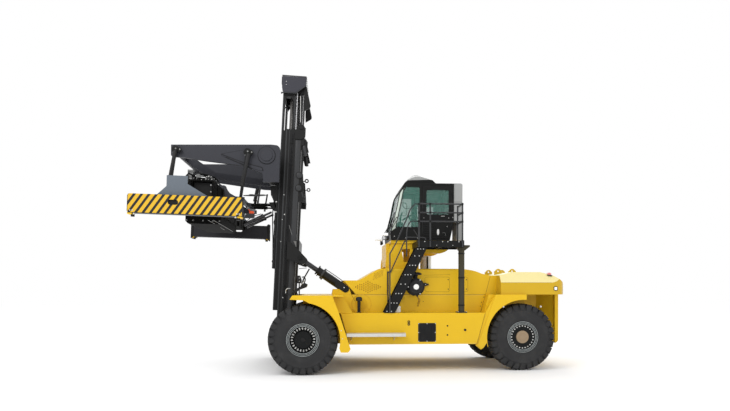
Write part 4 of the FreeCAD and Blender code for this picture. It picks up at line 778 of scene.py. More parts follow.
class Shape:
    """A mesh in the making, drawn in a local frame."""

    def __init__(self, seat: Seat | None = None) -> None:
        """Start empty, in the given frame."""
        self.mesh = bmesh.new()
        self.matrix = seat.matrix() if seat else Matrix.Identity(4)

    def surface(self, points: Sequence[Sequence[float]], faces: Iterable[Sequence[int]]) -> list:
        """Add points and the faces between them.

        Args:
            points: places in the local frame.
            faces: rows of indices into the points.

        Returns:
            The new faces.
        """
        corners = [self.mesh.verts.new(self.matrix @ Vector(point)) for point in points]
        return [self.mesh.faces.new([corners[index] for index in face]) for face in faces]

    def _soften(self, faces: list, width: float) -> None:
        """Bevel the sharp edges of some new faces."""
        if width <= 0:
            return
        edges = {edge for face in faces for edge in face.edges}
        sharp = [edge for edge in edges if len(edge.link_faces) == 2 and edge.calc_face_angle(0.0) > 0.6]
        bmesh.ops.bevel(self.mesh, geom=sharp, offset=width, segments=1, profile=0.5, affect="EDGES",
                        clamp_overlap=True)

    def block(self, low: Point, high: Point, soft: float = 0.0) -> "Shape":
        """Add a box with softened edges.

        Args:
            low: one corner.
            high: the corner opposite.
            soft: the width of the softening.

        Returns:
            The shape.
        """
        points = list(itertools.product(*(sorted(pair) for pair in zip(low, high))))
        rows = ((0, 1, 3, 2), (4, 6, 7, 5), (0, 4, 5, 1), (2, 3, 7, 6), (0, 2, 6, 4), (1, 5, 7, 3))
        self._soften(self.surface(points, rows), soft)
        return self

    def plate(self, outline: Sequence[Flat], along: Axis, start: float, end: float,
              soft: float = 0.0) -> "Shape":
        """Add a flat outline drawn out along an axis.

        Args:
            outline: corners as (x, z) along Y, (x, y) along Z or (y, z) along X.
            along: the axis it is drawn along.
            start: where it starts.
            end: where it ends.
            soft: the width of the softening.

        Returns:
            The shape.
        """
        place: Callable[[Flat, float], Point] = {
            Axis.X: lambda p, t: (t, p[0], p[1]),
            Axis.Y: lambda p, t: (p[0], t, p[1]),
            Axis.Z: lambda p, t: (p[0], p[1], t),
        }[along]
        count = len(outline)
        points = [place(p, start) for p in outline] + [place(p, end) for p in outline]
        rows = [tuple(range(count)), tuple(range(2 * count - 1, count - 1, -1))]
        rows += bands(2, count)
        faces = self.surface(points, rows)
        bmesh.ops.recalc_face_normals(self.mesh, faces=faces)
        self._soften(faces, soft)
        return self

    def turn(self, outline: Sequence[Flat], along: Axis, centre: Point, steps: int = 48) -> "Shape":
        """Turn an outline about an axis.

        Args:
            outline: rows of distance along the axis and radius.
            along: the axis.
            centre: a point on it.
            steps: how many steps make a full turn.

        Returns:
            The shape.
        """
        def spot(reach: float, radius: float, angle: float) -> Point:
            side, up = radius * math.cos(angle), radius * math.sin(angle)
            return {Axis.X: (reach, side, up), Axis.Y: (side, reach, up), Axis.Z: (side, up, reach)}[along]

        points = []
        for angle in turns(steps):
            for reach, radius in outline:
                x, y, z = spot(reach, max(radius, 1e-5), angle)
                points.append((centre[0] + x, centre[1] + y, centre[2] + z))
        faces = self.surface(points, bands(steps, len(outline), True))
        bmesh.ops.remove_doubles(self.mesh, verts=list({v for f in faces for v in f.verts}), dist=1e-4)
        bmesh.ops.recalc_face_normals(self.mesh, faces=[f for f in faces if f.is_valid])
        return self

    def rod(self, start: Point, end: Point, radius: float, sides: int = 16,
            end_radius: float | None = None, soft: float = 0.0) -> "Shape":
        """Add a straight round bar or cone.

        Args:
            start: the middle of one end.
            end: the middle of the other.
            radius: its radius at the start.
            sides: how many sides it has.
            end_radius: its radius at the end, if another.
            soft: the width of the softening at its ends.

        Returns:
            The shape.
        """
        first, last = Vector(start), Vector(end)
        way = last - first
        turn = way.to_track_quat("Z", "Y").to_matrix().to_4x4()
        outer = radius if end_radius is None else end_radius
        points = []
        for place, size in ((first, radius), (last, outer)):
            points += [place + turn @ Vector((size * math.cos(angle), size * math.sin(angle), 0))
                       for angle in turns(sides)]
        rows = [tuple(range(sides - 1, -1, -1)), tuple(range(sides, 2 * sides))]
        rows += bands(2, sides)
        faces = self.surface(points, rows)
        if soft:
            rims = {edge for face in faces[:2] for edge in face.edges}
            bmesh.ops.bevel(self.mesh, geom=list(rims), offset=soft, segments=2, profile=0.5, affect="EDGES")
        return self

    def tube(self, route: Sequence[Point], radius: float, sides: int = 10, round_off: bool = True) -> "Shape":
        """Sweep a round section along a route.

        Args:
            route: the points the pipe passes near.
            radius: its radius.
            sides: how many sides it has.
            round_off: whether its corners are eased.

        Returns:
            The shape.
        """
        path = [Vector(point) for point in route]
        for _ in range(3 if round_off else 0):
            eased = [path[0]]
            for first, second in zip(path, path[1:]):
                eased += [first.lerp(second, 0.25), first.lerp(second, 0.75)]
            path = [*eased, path[-1]]
        rings = []
        normal = (path[1] - path[0]).orthogonal().normalized()
        for index, point in enumerate(path):
            way = (path[min(index + 1, len(path) - 1)] - path[max(index - 1, 0)]).normalized()
            normal = (normal - way * normal.dot(way)).normalized()
            across = way.cross(normal)
            rings.append([point + radius * (math.cos(turn) * normal + math.sin(turn) * across)
                          for turn in turns(sides)])
        points = [place for ring in rings for place in ring]
        rows = [tuple(range(sides - 1, -1, -1)), tuple(range(len(points) - sides, len(points)))]
        self.surface(points, rows + bands(len(rings), sides))
        return self

    def bolts(self, places: Iterable[Point], facing: Point, across: float, height: float) -> "Shape":
        """Add hexagon heads on washers.

        Args:
            places: where the heads sit.
            facing: the way they face.
            across: the radius of a head.
            height: the height of a head.

        Returns:
            The shape.
        """
        way = Vector(facing).normalized()
        for place in places:
            foot = Vector(place) - way * 0.002
            self.rod(foot, foot + way * (height * 0.3 + 0.002), across * 1.45, 14)
            self.rod(foot, foot + way * (height + 0.002), across, 6, soft=across * 0.12)
        return self

    def finish(self, name: str, body: Body, finish: Finish, palette: Palette,
               crease: float = 32.0) -> bpy.types.Object:
        """Turn the shape into a piece that rides on a body.

        Args:
            name: the piece's name.
            body: what it rides on.
            finish: its finish.
            palette: where its material comes from.
            crease: the angle, in degrees, over which an edge stays sharp.

        Returns:
            The new object.
        """
        limit = math.radians(crease)
        self.mesh.normal_update()
        for edge in self.mesh.edges:
            edge.smooth = len(edge.link_faces) == 2 and edge.calc_face_angle(math.pi) < limit
        for face in self.mesh.faces:
            face.smooth = True
        data = bpy.data.meshes.new(name)
        self.mesh.to_mesh(data)
        self.mesh.free()
        data.materials.append(palette.material(finish))
        piece = bpy.data.objects.new(name, data)
        bpy.context.scene.collection.objects.link(piece)
        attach(piece, body.value)
        log.info("made %s, %d faces, on %s", name, len(data.polygons), body.value)
        return piece


def ring_of(count: int, radius: float, centre: Flat, reach: float, offset: float = 0.0) -> list[Point]:
    """Places evenly round a circle that faces along Y.

    Args:
        count: how many.
        radius: the circle's radius.
        centre: its middle, as x and z.
        reach: its y.
        offset: the first one's angle.

    Returns:
        The places.
    """
    turns = [offset + 2 * math.pi * step / count for step in range(count)]
    return [(centre[0] + radius * math.cos(t), reach, centre[1] + radius * math.sin(t)) for t in turns]


def rounded(low: Flat, high: Flat, radius: float, steps: int = 5) -> list[Flat]:
    """A rectangle's outline with round corners.

    Args:
        low: its lowest corner.
        high: its highest corner.
        radius: the corners' radius.
        steps: points in each corner.

    Returns:
        The outline.
    """
    corners = ((high[0] - radius, high[1] - radius, 0), (low[0] + radius, high[1] - radius, 90),
               (low[0] + radius, low[1] + radius, 180), (high[0] - radius, low[1] + radius, 270))
    outline = []
    for x, y, first in corners:
        for step in range(steps + 1):
            angle = math.radians(first + 90 * step / steps)
            outline.append((x + radius * math.cos(angle), y + radius * math.sin(angle)))
    return outline


def inset(outline: Sequence[Flat], width: float) -> list[Flat]:
    """Move an outline's edges inwards.

    Args:
        outline: its corners.
        width: how far.

    Returns:
        The smaller outline, corner for corner.
    """
    corners = [Vector(corner) for corner in outline]
    count = len(corners)
    area = sum(corners[i].x * corners[(i + 1) % count].y - corners[(i + 1) % count].x * corners[i].y
               for i in range(count))
    turn = 1.0 if area > 0 else -1.0
    moved = []
    for index, corner in enumerate(corners):
        before = (corner - corners[index - 1]).normalized()
        after = (corners[(index + 1) % count] - corner).normalized()
        inwards = [Vector((-way.y, way.x)) * turn for way in (before, after)]
        middle = (inwards[0] + inwards[1]).normalized()
        moved.append(tuple(corner + middle * width / max(0.5, middle.dot(inwards[0]))))
    return moved


# ------------------------------------------------------------------ wheels


@dataclass
class Tyre:
    """A cross-ply tyre with deep bars across its tread."""

    radius: float = 0.8375
    width: float = 0.5
    bead: float = 0.3312
    depth: float = 0.034
    bars: int = 28
    steps: int = 112
    bar_share: float = 1.1

    def carcass(self, middle: float) -> list[Flat]:
        """The section under the tread bars.

        Args:
            middle: the y of the tyre's middle plane.

        Returns:
            The outline as rows of y and radius.
        """
        half, root = self.width / 2, self.radius - self.depth
        right = [
            (half - 0.018, self.bead), (half - 0.018, 0.395), (half - 0.006, 0.43), (half - 0.004, 0.455),
            (half + 0.0, 0.47), (half + 0.0015, 0.52), (half + 0.001, 0.58), (half - 0.003, 0.635),
            (half - 0.001, 0.64), (half - 0.001, 0.652), (half - 0.006, 0.657), (half - 0.022, 0.7),
            (half - 0.042, 0.745), (half - 0.07, root - 0.014), (0.12, root - 0.002), (0.0, root),
        ]
        left = [(-y, r) for y, r in reversed(right[:-1])]
        return [(middle + y, r) for y, r in right + left]

    def add_bars(self, shape: Shape, centre: Vector, middle: float) -> None:
        """Set the tread bars round the tyre.

        Args:
            shape: the shape to add to.
            centre: the wheel's hub.
            middle: the y of the tyre's middle plane, from the hub.
        """
        half, top = self.width / 2, self.radius
        pitch = 2 * math.pi / self.bars
        stations = [(0.008, top - 0.001, 0.78), (0.06, top - 0.001, 0.8), (0.13, top - 0.004, 0.88),
                    (0.185, top - 0.012, 0.92), (half - 0.022, top - 0.034, 0.87),
                    (half - 0.007, top - 0.082, 0.84), (half - 0.003, top - 0.135, 0.74),
                    (half - 0.003, top - 0.165, 0.5)]
        for side in (-1, 1):
            for bar in range(self.bars):
                start = pitch * (bar + (0.25 if side > 0 else -0.25))
                points = []
                for reach, outer, share in stations:
                    swing = start + 0.3 * pitch * min(reach / half, 1.0)
                    width = pitch * share * self.bar_share * 0.78
                    inner = outer - 0.05
                    drop = 0.044 if reach > half - 0.012 else 0.0
                    for radius, angle, inset in ((inner, swing - width / 2 - 0.006, drop),
                                                 (outer, swing - width / 2, 0.0),
                                                 (outer, swing + width / 2, 0.0),
                                                 (inner, swing + width / 2 + 0.006, drop)):
                        points.append((centre.x + radius * math.cos(angle),
                                       centre.y + middle + side * (reach - inset),
                                       centre.z + radius * math.sin(angle)))
                rows = [(3, 2, 1, 0), *bands(len(stations), 4)]
                last = 4 * (len(stations) - 1)
                rows.append((last, last + 1, last + 2, last + 3))
                faces = shape.surface(points, rows)
                bmesh.ops.recalc_face_normals(shape.mesh, faces=faces)

    def make(self, shape: Shape, centre: Vector, middle: float) -> None:
        """Add the whole tyre to a shape."""
        shape.turn(self.carcass(middle), Axis.Y, tuple(centre), self.steps)
        self.add_bars(shape, centre, middle)


@dataclass
class Wheels:
    """Tyres with their tread, and the nuts and covers of the rims."""

    look: Palette
    datum: Datum
    dual: float = 0.6
    nut_circle_front: float = 0.262
    nut_circle_rear: float = 0.252
    rim_edge: float = 0.385

    def build(self) -> None:
        """Make every wheel."""
        self.look.dress(self.look.rim, *[f"{side}_{rim}" for side in ("left", "right")
                                         for rim in ("front_rims", "rear_rim")])
        for side, name, front, rear in (
            (Side.LEFT, "left", Body.LEFT_FRONT_WHEEL, Body.LEFT_REAR_WHEEL),
            (Side.RIGHT, "right", Body.RIGHT_FRONT_WHEEL, Body.RIGHT_REAR_WHEEL),
        ):
            self.front(side, name, front)
            self.rear(side, name, rear)

    def front(self, side: Side, name: str, body: Body) -> None:
        """Make the twin drive wheels of one side."""
        sign = side.value
        hub = Vector((self.datum.front_axle.x, sign * self.datum.front_y, self.datum.front_axle.z))
        shape = Shape()
        for middle in (0.0, -sign * self.dual):
            Tyre().make(shape, hub, middle)
        tyres = shape.finish(f"{name}_front_tread", body, self.look.rubber, self.look, 28.0)
        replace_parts(tyres, f"{name}_front_tyres")
        centre = (hub.x, hub.z)
        face = hub.y + sign * 0.09
        nuts = Shape().bolts(ring_of(24, self.nut_circle_front + 0.012, centre, face, 0.05), (0, sign, 0),
                             0.013, 0.028)
        nuts.bolts(ring_of(24, self.nut_circle_front - 0.014, centre, face, 0.05), (0, sign, 0), 0.009, 0.022)
        nuts.finish(f"{name}_front_nuts", body, self.look.zinc, self.look)
        self.rim_rings(sign, hub).finish(f"{name}_front_rim_rings", body, self.look.rim_edge, self.look)
        cover = Shape().turn([(sign * 0.164, 0.0), (sign * 0.176, 0.0), (sign * 0.175, 0.05),
                              (sign * 0.17, 0.056), (sign * 0.164, 0.058)], Axis.Y, tuple(hub), 40)
        cover.turn([(sign * 0.149, 0.196), (sign * 0.157, 0.199), (sign * 0.157, 0.205),
                    (sign * 0.149, 0.208)], Axis.Y, tuple(hub), 56)
        cover.bolts(ring_of(8, 0.15, centre, hub.y + sign * 0.165), (0, sign, 0), 0.012, 0.014)
        cover.finish(f"{name}_front_hub_cover", body, self.look.seal, self.look)
        valve = Shape().rod((hub.x + 0.3, hub.y + sign * 0.155, hub.z + 0.05),
                            (hub.x + 0.318, hub.y + sign * 0.23, hub.z + 0.052), 0.007, 10)
        valve.finish(f"{name}_front_valve", body, self.look.zinc, self.look)

    def rear(self, side: Side, name: str, body: Body) -> None:
        """Make the steered wheel of one side."""
        sign = side.value
        hub = Vector((self.datum.rear_axle.x, sign * self.datum.rear_y, self.datum.rear_axle.z))
        shape = Shape()
        Tyre().make(shape, hub, 0.0)
        tyre = shape.finish(f"{name}_rear_tread", body, self.look.rubber, self.look, 28.0)
        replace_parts(tyre, f"{name}_rear_tyre")
        centre = (hub.x, hub.z)
        nuts = Shape().bolts(ring_of(24, self.nut_circle_rear + 0.024, centre, hub.y + sign * 0.21),
                             (0, sign, 0), 0.0115, 0.016)
        nuts.finish(f"{name}_rear_nuts", body, self.look.zinc, self.look)
        disc = Shape().turn([(sign * 0.196, 0.12), (sign * 0.208, 0.12), (sign * 0.208, 0.296),
                             (sign * 0.216, 0.304), (sign * 0.216, 0.318), (sign * 0.196, 0.318)],
                            Axis.Y, tuple(hub), 72)
        disc.finish(f"{name}_rear_disc", body, self.look.rim, self.look)
        cap = Shape().turn([(sign * 0.205, 0.0), (sign * 0.205, 0.16), (sign * 0.226, 0.158),
                            (sign * 0.236, 0.15), (sign * 0.238, 0.092), (sign * 0.246, 0.086),
                            (sign * 0.246, 0.0)], Axis.Y, tuple(hub), 56)
        cap.finish(f"{name}_rear_hub_cap", body, self.look.hub, self.look)
        self.rim_rings(sign, hub).finish(f"{name}_rear_rim_rings", body, self.look.rim_edge, self.look)

    def rim_rings(self, sign: float, hub: Vector) -> Shape:
        """Light grey rings on the edge of a rim's flange and on the rings inside it."""
        edge = Shape()
        for radius, reach in ((self.rim_edge - 0.003, 0.2525), (0.352, 0.2475), (0.323, 0.246)):
            edge.turn([(sign * (reach - 0.006), radius - 0.006), (sign * (reach + 0.005), radius - 0.004),
                       (sign * (reach + 0.005), radius + 0.004), (sign * (reach - 0.006), radius + 0.006)],
                      Axis.Y, tuple(hub), 72)
        return edge


# ------------------------------------------------------------------ chassis and bodywork


@dataclass
class Assembly:
    """A part of the truck, built from a palette and from the model's own places."""

    look: Palette
    datum: Datum

    def __post_init__(self) -> None:
        """Begin with no open pieces."""
        self.open: list[Callable[[], bpy.types.Object]] = []

    def build(self) -> None:
        """Make the pieces, then finish those that are still open."""
        self.make()
        for finish in self.open:
            finish()

    def make(self) -> None:
        """Draw the pieces; each part of the truck has its own."""

    def start(self, name: str, finish: Finish, body: Body = Body.CHASSIS, seat: Seat | None = None) -> Shape:
        """Open a piece, which build() finishes.

        Args:
            name: the piece's name.
            finish: one of the palette's finishes.
            body: the part of the truck that it rides on.
            seat: the frame that it is drawn in, when it isn't its body's own.

        Returns:
            The empty shape.
        """
        shape = Shape(seat or self.datum.seat_for(body))
        self.open.append(lambda: self.keep(shape, name, body, finish))
        return shape

    def keep(self, shape: Shape, name: str, body: Body, finish: Finish,
             crease: float = 32.0) -> bpy.types.Object:
        """Finish a shape with this part's palette."""
        return shape.finish(name, body, finish, self.look, crease)

    def strip(self, shape: Shape, start: Flat, end: Flat, wall: float, width: float, proud: float) -> None:
        """Lay a thin flat strip on a wall that faces along Y.

        Args:
            shape: the shape to add to.
            start: its first end, as x and z.
            end: its other end.
            wall: the wall's y.
            width: the strip's width.
            proud: how far it stands off the wall.
        """
        way = (Vector(end) - Vector(start)).normalized()
        off = Vector((-way.y, way.x)) * width / 2
        first, last = Vector(start), Vector(end)
        outline = [tuple(first + off), tuple(first - off), tuple(last - off), tuple(last + off)]
        sign = math.copysign(1.0, wall)
        shape.plate(outline, Axis.Y, wall - sign * 0.004, wall + sign * proud)

    def border(self, shape: Shape, outline: Sequence[Flat], wall: float, width: float, proud: float) -> None:
        """Lay a flat border inside an outline on a wall that faces along Y.

        Args:
            shape: the shape to add to.
            outline: the border's outer edge, as x and z.
            wall: the wall's y.
            width: the border's width.
            proud: how far it stands off the wall.
        """
        inner = inset(outline, width)
        sign = math.copysign(1.0, wall)
        for index in range(len(outline)):
            after = (index + 1) % len(outline)
            corner = [outline[index], outline[after], inner[after], inner[index]]
            shape.plate(corner, Axis.Y, wall - sign * 0.003, wall + sign * proud)


@dataclass
class Coats(Assembly):
    """The finishes of the model's own nodes."""

    def make(self) -> None:
        """Dress every node that stays in sight."""
        look = self.look
        look.dress(look.yellow, "lower_body", "front_cowl", "engine_hood", "side_tanks", "front_fenders",
                   "rear_fenders", "tail_block", "cab_pedestal", "tilt_cylinder_brackets")
        look.dress(look.pale_yellow, "counterweight")
        # The chassis frame takes the darkened yellow: painted shade.
        look.dress(look.frame_shaded_yellow, "chassis_frame")
        look.dress(look.black, "cab_shell", "cab_door", "platform", "access_ladder", "air_cleaner", "hangers")
        look.dress(look.mast, "outer_mast", "inner_mast", "carriage_frame", "lift_cylinder_barrels",
                   "tilt_cylinder_barrels")
        look.dress(look.grey, "spreader_arms", "hanger_frame")
        # The spreader's main frame and hydraulics take the near-black underside: painted shade.
        look.dress(look.under, "spreader_main_frame", "spreader_hydraulics")
        look.dress(look.beam, "near_telescope", "far_telescope")
        look.dress(look.pale, "rear_air_unit")
        look.dress(look.hump, "roof_unit")
        look.dress(look.zinc, "side_steps")
        look.dress(look.exhaust, "exhaust_stack")
        look.dress(look.chain, "lift_chains")
        look.dress(look.post, "platform_post")
        # Handrails in the lighter grey: a painted highlight.
        look.dress(look.guide, "handrails")
        look.dress(look.rod, "tilt_cylinder_rods", "lift_cylinder_rods")
        look.dress(look.iron, "engine_block", "drive_axle", "steer_axle", "left_knuckle", "right_knuckle")
        look.dress(look.glass, "cab_glass", "door_glass")
        look.dress(look.plastic, "cab_console", "steering_wheel", "breather")
        look.dress(look.cloth, "driver_seat")


@dataclass
class Bodywork(Assembly):
    """Seams, louvres, covers and fittings on the yellow panels."""

    side: float = 1.13
    tank: float = 1.6
    fender: float = 2.11
    seam: float = 0.008
    vent_low: Flat = (2.797, 0.739)
    vent_high: Flat = (3.242, 1.204)
    louvre_middle: Flat = (1.595, 2.09)
    louvre_half: Flat = (0.335, 0.165)

    def make(self) -> None:
        """Make every fitting."""
        self.seams()
        self.louvres()
        self.doors()
        self.vents()
        self.tank_fittings()
        self.fender_edges()
        self.under_hood_pipes()
        self.breather()
        self.hood_top()

    def seams(self) -> None:
        """Dark gaps between the panels, and raised edges beside them in paler yellow as a painted highlight."""
        gaps = self.start("panel_gaps", self.look.gap)
        edges = self.start("panel_edges", self.look.edge_highlight)
        for side in Side:
            wall = side.value * self.side
            for start, end in (((1.18, 1.9), (4.6, 1.9)), ((4.727, 2.372), (4.606, 1.905)),
                               ((4.598, 1.895), (4.478, 1.465)), ((2.08, 1.905), (2.08, 2.545)),
                               ((1.285, 1.905), (0.985, 2.245)), ((1.18, 1.895), (1.42, 1.455))):
                self.strip(gaps, start, end, wall, self.seam, 0.001)
            # Paler strips along the seam and along the tank's lower edge: painted highlight.
            self.strip(edges, (1.24, 1.885), (4.55, 1.885), wall, 0.016, 0.003)
            weight = side.value * 1.52
            self.strip(gaps, (4.905, 2.196), (6.18, 2.196), weight, 0.005, 0.0008)
            tank = side.value * self.tank
            self.strip(gaps, (1.1, 0.72), (0.902, 1.44), tank, self.seam, 0.001)
            self.strip(gaps, (4.262, 0.69), (4.47, 1.44), tank, self.seam, 0.001)
            self.strip(edges, (1.13, 0.694), (4.24, 0.694), tank, 0.024, 0.004)

    def louvres(self) -> None:
        """A diamond of pressed slots on the cowl, and a sheared patch above it."""
        slots = self.start("louvre_slots", self.look.shadow_brown)
        lips = self.start("louvre_lips", self.look.yellow)
        middle, half = self.louvre_middle, self.louvre_half
        for side in Side:
            wall = side.value * self.side
            sign = side.value
            for column in range(-6, 7):
                x = middle[0] + column * 0.0515
                reach = half[1] * (1.0 - abs(column) / 7.0)
                rows = max(1, round(2 * reach / 0.056))
                for row in range(rows):
                    z = middle[1] + (row - (rows - 1) / 2) * 0.056
                    slots.block((x - 0.007, wall - 0.004, z - 0.019),
                                (x + 0.007, wall + 0.0015, z + 0.019), 0.003)
                    lips.plate([(x + 0.008, wall - sign * 0.002), (x + 0.021, wall - sign * 0.002),
                                (x + 0.008, wall + sign * 0.007)], Axis.Z, z - 0.022, z + 0.022)
            for column in range(7):
                for row in range(5):
                    x = 1.74 + column * 0.036 + row * 0.006
                    z = 2.275 + row * 0.036 + column * 0.017
                    slots.block((x - 0.005, wall - 0.004, z - 0.01),
                                (x + 0.005, wall + 0.0015, z + 0.01), 0.002)

    def doors(self) -> None:
        """Service doors in the hood, with latches, and a round cover on the lower body."""
        gaps = self.start("door_gaps", self.look.gap)
        latches = self.start("door_latches", self.look.iron)
        covers = self.start("round_covers", self.look.shaded_yellow)
        for side in Side:
            wall, sign = side.value * self.side, side.value
            for low, high in (((3.04, 1.965), (3.68, 2.345)), ((3.985, 1.965), (4.15, 2.345))):
                self.border(gaps, rounded(low, high, 0.05), wall, 0.006, 0.001)
                for z in (low[1] + 0.07, high[1] - 0.07):
                    latches.rod((high[0] - 0.04, wall - sign * 0.002, z),
                                (high[0] - 0.04, wall + sign * 0.01, z), 0.013, 18, soft=0.003)
            self.strip(gaps, (3.02, 2.385), (3.7, 2.405), wall, 0.005, 0.001)
            for x, z in ((4.5, 1.7), (4.47, 1.6), (4.55, 1.83), (3.0, 1.72)):
                latches.rod((x, wall - sign * 0.002, z), (x, wall + sign * 0.008, z), 0.01, 14, soft=0.002)
            covers.rod((1.43, wall - sign * 0.004, 1.66), (1.43, wall + sign * 0.016, 1.66), 0.15, 56,
                       soft=0.004)
            covers.turn([(sign * -0.002, 0.238), (sign * 0.01, 0.24), (sign * 0.01, 0.25),
                         (sign * -0.002, 0.252)], Axis.Y, (1.43, wall, 1.66), 72)

    def vents(self) -> None:
        """Black ribbed grilles in the tanks' recesses."""
        ribs = self.start("vent_grilles", self.look.plastic)
        bolts = self.start("vent_bolts", self.look.zinc)
        low, high = self.vent_low, self.vent_high
        for side in Side:
            sign = side.value
            back = sign * (self.tank - 0.024)
            face = sign * (self.tank - 0.004)
            ribs.block((low[0] + 0.002, back - sign * 0.002, low[1] + 0.002),
                       (high[0] - 0.002, back + sign * 0.004, high[1] - 0.002))
            for index in range(12):
                x = low[0] + 0.034 + index * (high[0] - low[0] - 0.068) / 11
                ribs.plate([(x - 0.012, back), (x - 0.002, face - sign * 0.002),
                            (x + 0.003, face - sign * 0.002), (x - 0.004, back)], Axis.Z, low[1] + 0.03,
                           high[1] - 0.03)
            frame_in = ((low[0] + 0.03, low[1] + 0.03), (high[0] - 0.03, high[1] - 0.03))
            for box_low, box_high in (((low[0] + 0.002, low[1] + 0.002), (high[0] - 0.002, frame_in[0][1])),
                                      ((low[0] + 0.002, frame_in[1][1]), (high[0] - 0.002, high[1] - 0.002)),
                                      ((low[0] + 0.002, low[1] + 0.002), (frame_in[0][0], high[1] - 0.002)),
                                      ((frame_in[1][0], low[1] + 0.002), (high[0] - 0.002, high[1] - 0.002))):
                ribs.block((box_low[0], back, box_low[1]), (box_high[0], face, box_high[1]), 0.003)
            places = [(x, face, z) for x in (low[0] + 0.016, (low[0] + high[0]) / 2, high[0] - 0.016)
                      for z in (low[1] + 0.016, (low[1] + high[1]) / 2, high[1] - 0.016)
                      if abs(x - (low[0] + high[0]) / 2) > 0.01 or abs(z - (low[1] + high[1]) / 2) > 0.01]
            bolts.bolts(places, (0, sign, 0), 0.008, 0.006)

    def tank_fittings(self) -> None:
        """Handles, plugs, fillers and the light strip on the steps."""
        black = self.start("tank_fittings", self.look.plastic)
        bright = self.start("tank_bolts", self.look.zinc)
        treads = self.start("step_treads", self.look.zinc)
        for side in Side:
            sign, wall = side.value, side.value * self.tank
            for z in (1.235, 1.175):
                black.turn([(sign * -0.002, 0.014), (sign * 0.01, 0.016), (sign * 0.012, 0.022),
                            (sign * 0.01, 0.03), (sign * -0.002, 0.033)], Axis.Y, (2.568, wall, z), 28)
            black.rod((3.965, wall - sign * 0.004, 1.03), (3.965, wall + sign * 0.014, 1.03), 0.03, 30,
                      soft=0.005)
            black.rod((3.965, wall, 1.03), (3.965, wall + sign * 0.024, 1.03), 0.013, 6)
            for z in (0.906, 1.132):
                black.rod((3.528, wall - sign * 0.04, z), (3.528, wall - sign * 0.02, z), 0.0215, 24)
            for x in (0.115, 0.36):
                bright.bolts([(1.036 + x, sign * (self.tank + 0.15), 0.9702)], (0, 0, 1), 0.009, 0.006)
            for index in range(27):
                x = 1.07 + index * 0.0525
                for y in (0.045, 0.115, 0.185, 0.255):
                    shift = 0.026 if round(y * 100) % 14 == 4 else 0.0
                    treads.plate([(x + shift - 0.014, sign * (self.tank + y) - 0.004),
                                  (x + shift + 0.014, sign * (self.tank + y) - 0.004),
                                  (x + shift + 0.01, sign * (self.tank + y) + 0.004),
                                  (x + shift - 0.01, sign * (self.tank + y) + 0.004)],
                                 Axis.Z, 0.969, 0.9735)
        black.rod((3.45, 1.36, 1.449), (3.45, 1.36, 1.5), 0.062, 32, soft=0.006)
        black.rod((3.45, 1.36, 1.5), (3.45, 1.36, 1.522), 0.048, 12, soft=0.004)

    def fender_edges(self) -> None:
        """Rolled lips round the arches, with flap bolts behind them."""
        lips = self.start("arch_lips", self.look.yellow)
        bolts = self.start("arch_bolts", self.look.zinc)
        hub = self.datum.front_axle.z
        wheelbase = self.datum.rear_axle.x - self.datum.front_axle.x
        for side in Side:
            sign = side.value
            wall = sign * (self.fender - 0.004)
            route = [(x, wall, z) for x, z in around((0.0, hub), 0.886, range(80, -16, -6))]
            lips.tube(route, 0.009, 8, False)
            bolts.bolts([(x, sign * self.fender, z) for x, z in around((0.0, hub), 0.93, (2, 14))],
                        (0, sign, 0), 0.009, 0.007)
            wall = sign * (self.tank - 0.004)
            route = [(x, wall, z) for x, z in around((wheelbase, hub), 0.941, range(194, 84, -6))]
            lips.tube(route, 0.008, 8, False)

    def under_hood_pipes(self) -> None:
        """The air cleaner's cover, clips, cap and drain, then the exhaust and the coolant bottle."""
        black = self.start("air_cleaner_trim", self.look.plastic)
        bright = self.start("air_cleaner_clips", self.look.zinc)
        wires = self.start("drain_pipes", self.look.tan)
        middle = (2.765, -1.5, 2.09)
        black.turn([(0.002, 0.0), (-0.02, 0.0), (-0.024, 0.06), (-0.012, 0.072), (-0.012, 0.118),
                    (-0.022, 0.128), (-0.022, 0.158), (-0.008, 0.176), (0.004, 0.186), (0.01, 0.15)],
                   Axis.Y, middle, 64)
        for reach in (0.028, 0.058, 0.25, 0.284):
            black.turn(collar(reach, 0.014, 0.206, 0.2155, 0.005), Axis.Y, middle, 64)
        for x, z in around((middle[0], middle[2]), 0.196, (60, 180, 300)):
            bright.block((x - 0.012, -1.506, z - 0.012), (x + 0.012, -1.452, z + 0.012), 0.004)
        black.turn([(2.39, 0.132), (2.395, 0.142), (2.412, 0.146), (2.44, 0.118), (2.456, 0.06), (2.458, 0.0),
                    (2.4, 0.0), (2.386, 0.1)], Axis.Z, (2.785, -1.34, 0.0), 56)
        barrel = Shape(self.datum.chassis).turn(
            [(0.37, 0.0), (0.37, 0.15), (0.352, 0.186), (0.345, 0.206), (0.012, 0.206), (0.004, 0.186),
             (0.004, 0.0)], Axis.Y, middle, 64)
        barrel.turn([(2.2, 0.0), (2.2, 0.06), (2.392, 0.06), (2.392, 0.0)], Axis.Z, (2.765, -1.34, 0.0), 40)
        barrel.rod((2.74, -1.18, 1.895), (2.74, -1.131, 1.895), 0.03, 20)
        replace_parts(self.keep(barrel, "air_cleaner_body", Body.CHASSIS, self.look.black), "air_cleaner")
        for z in (2.27, 2.36):
            black.turn(collar(z, 0.014, 0.061, 0.0675, 0.003), Axis.Z, (2.765, -1.34, 0.0), 40)
        black.rod((2.81, -1.34, 1.905), (2.82, -1.345, 1.845), 0.03, 20, 0.022, soft=0.003)
        black.rod((3.05, -1.131, 2.15), (3.05, -1.19, 2.15), 0.044, 30, soft=0.006)
        black.rod((3.115, -1.131, 2.15), (3.115, -1.17, 2.15), 0.026, 24, soft=0.004)
        bright.rod((3.05, -1.188, 2.15), (3.05, -1.197, 2.15), 0.01, 16)
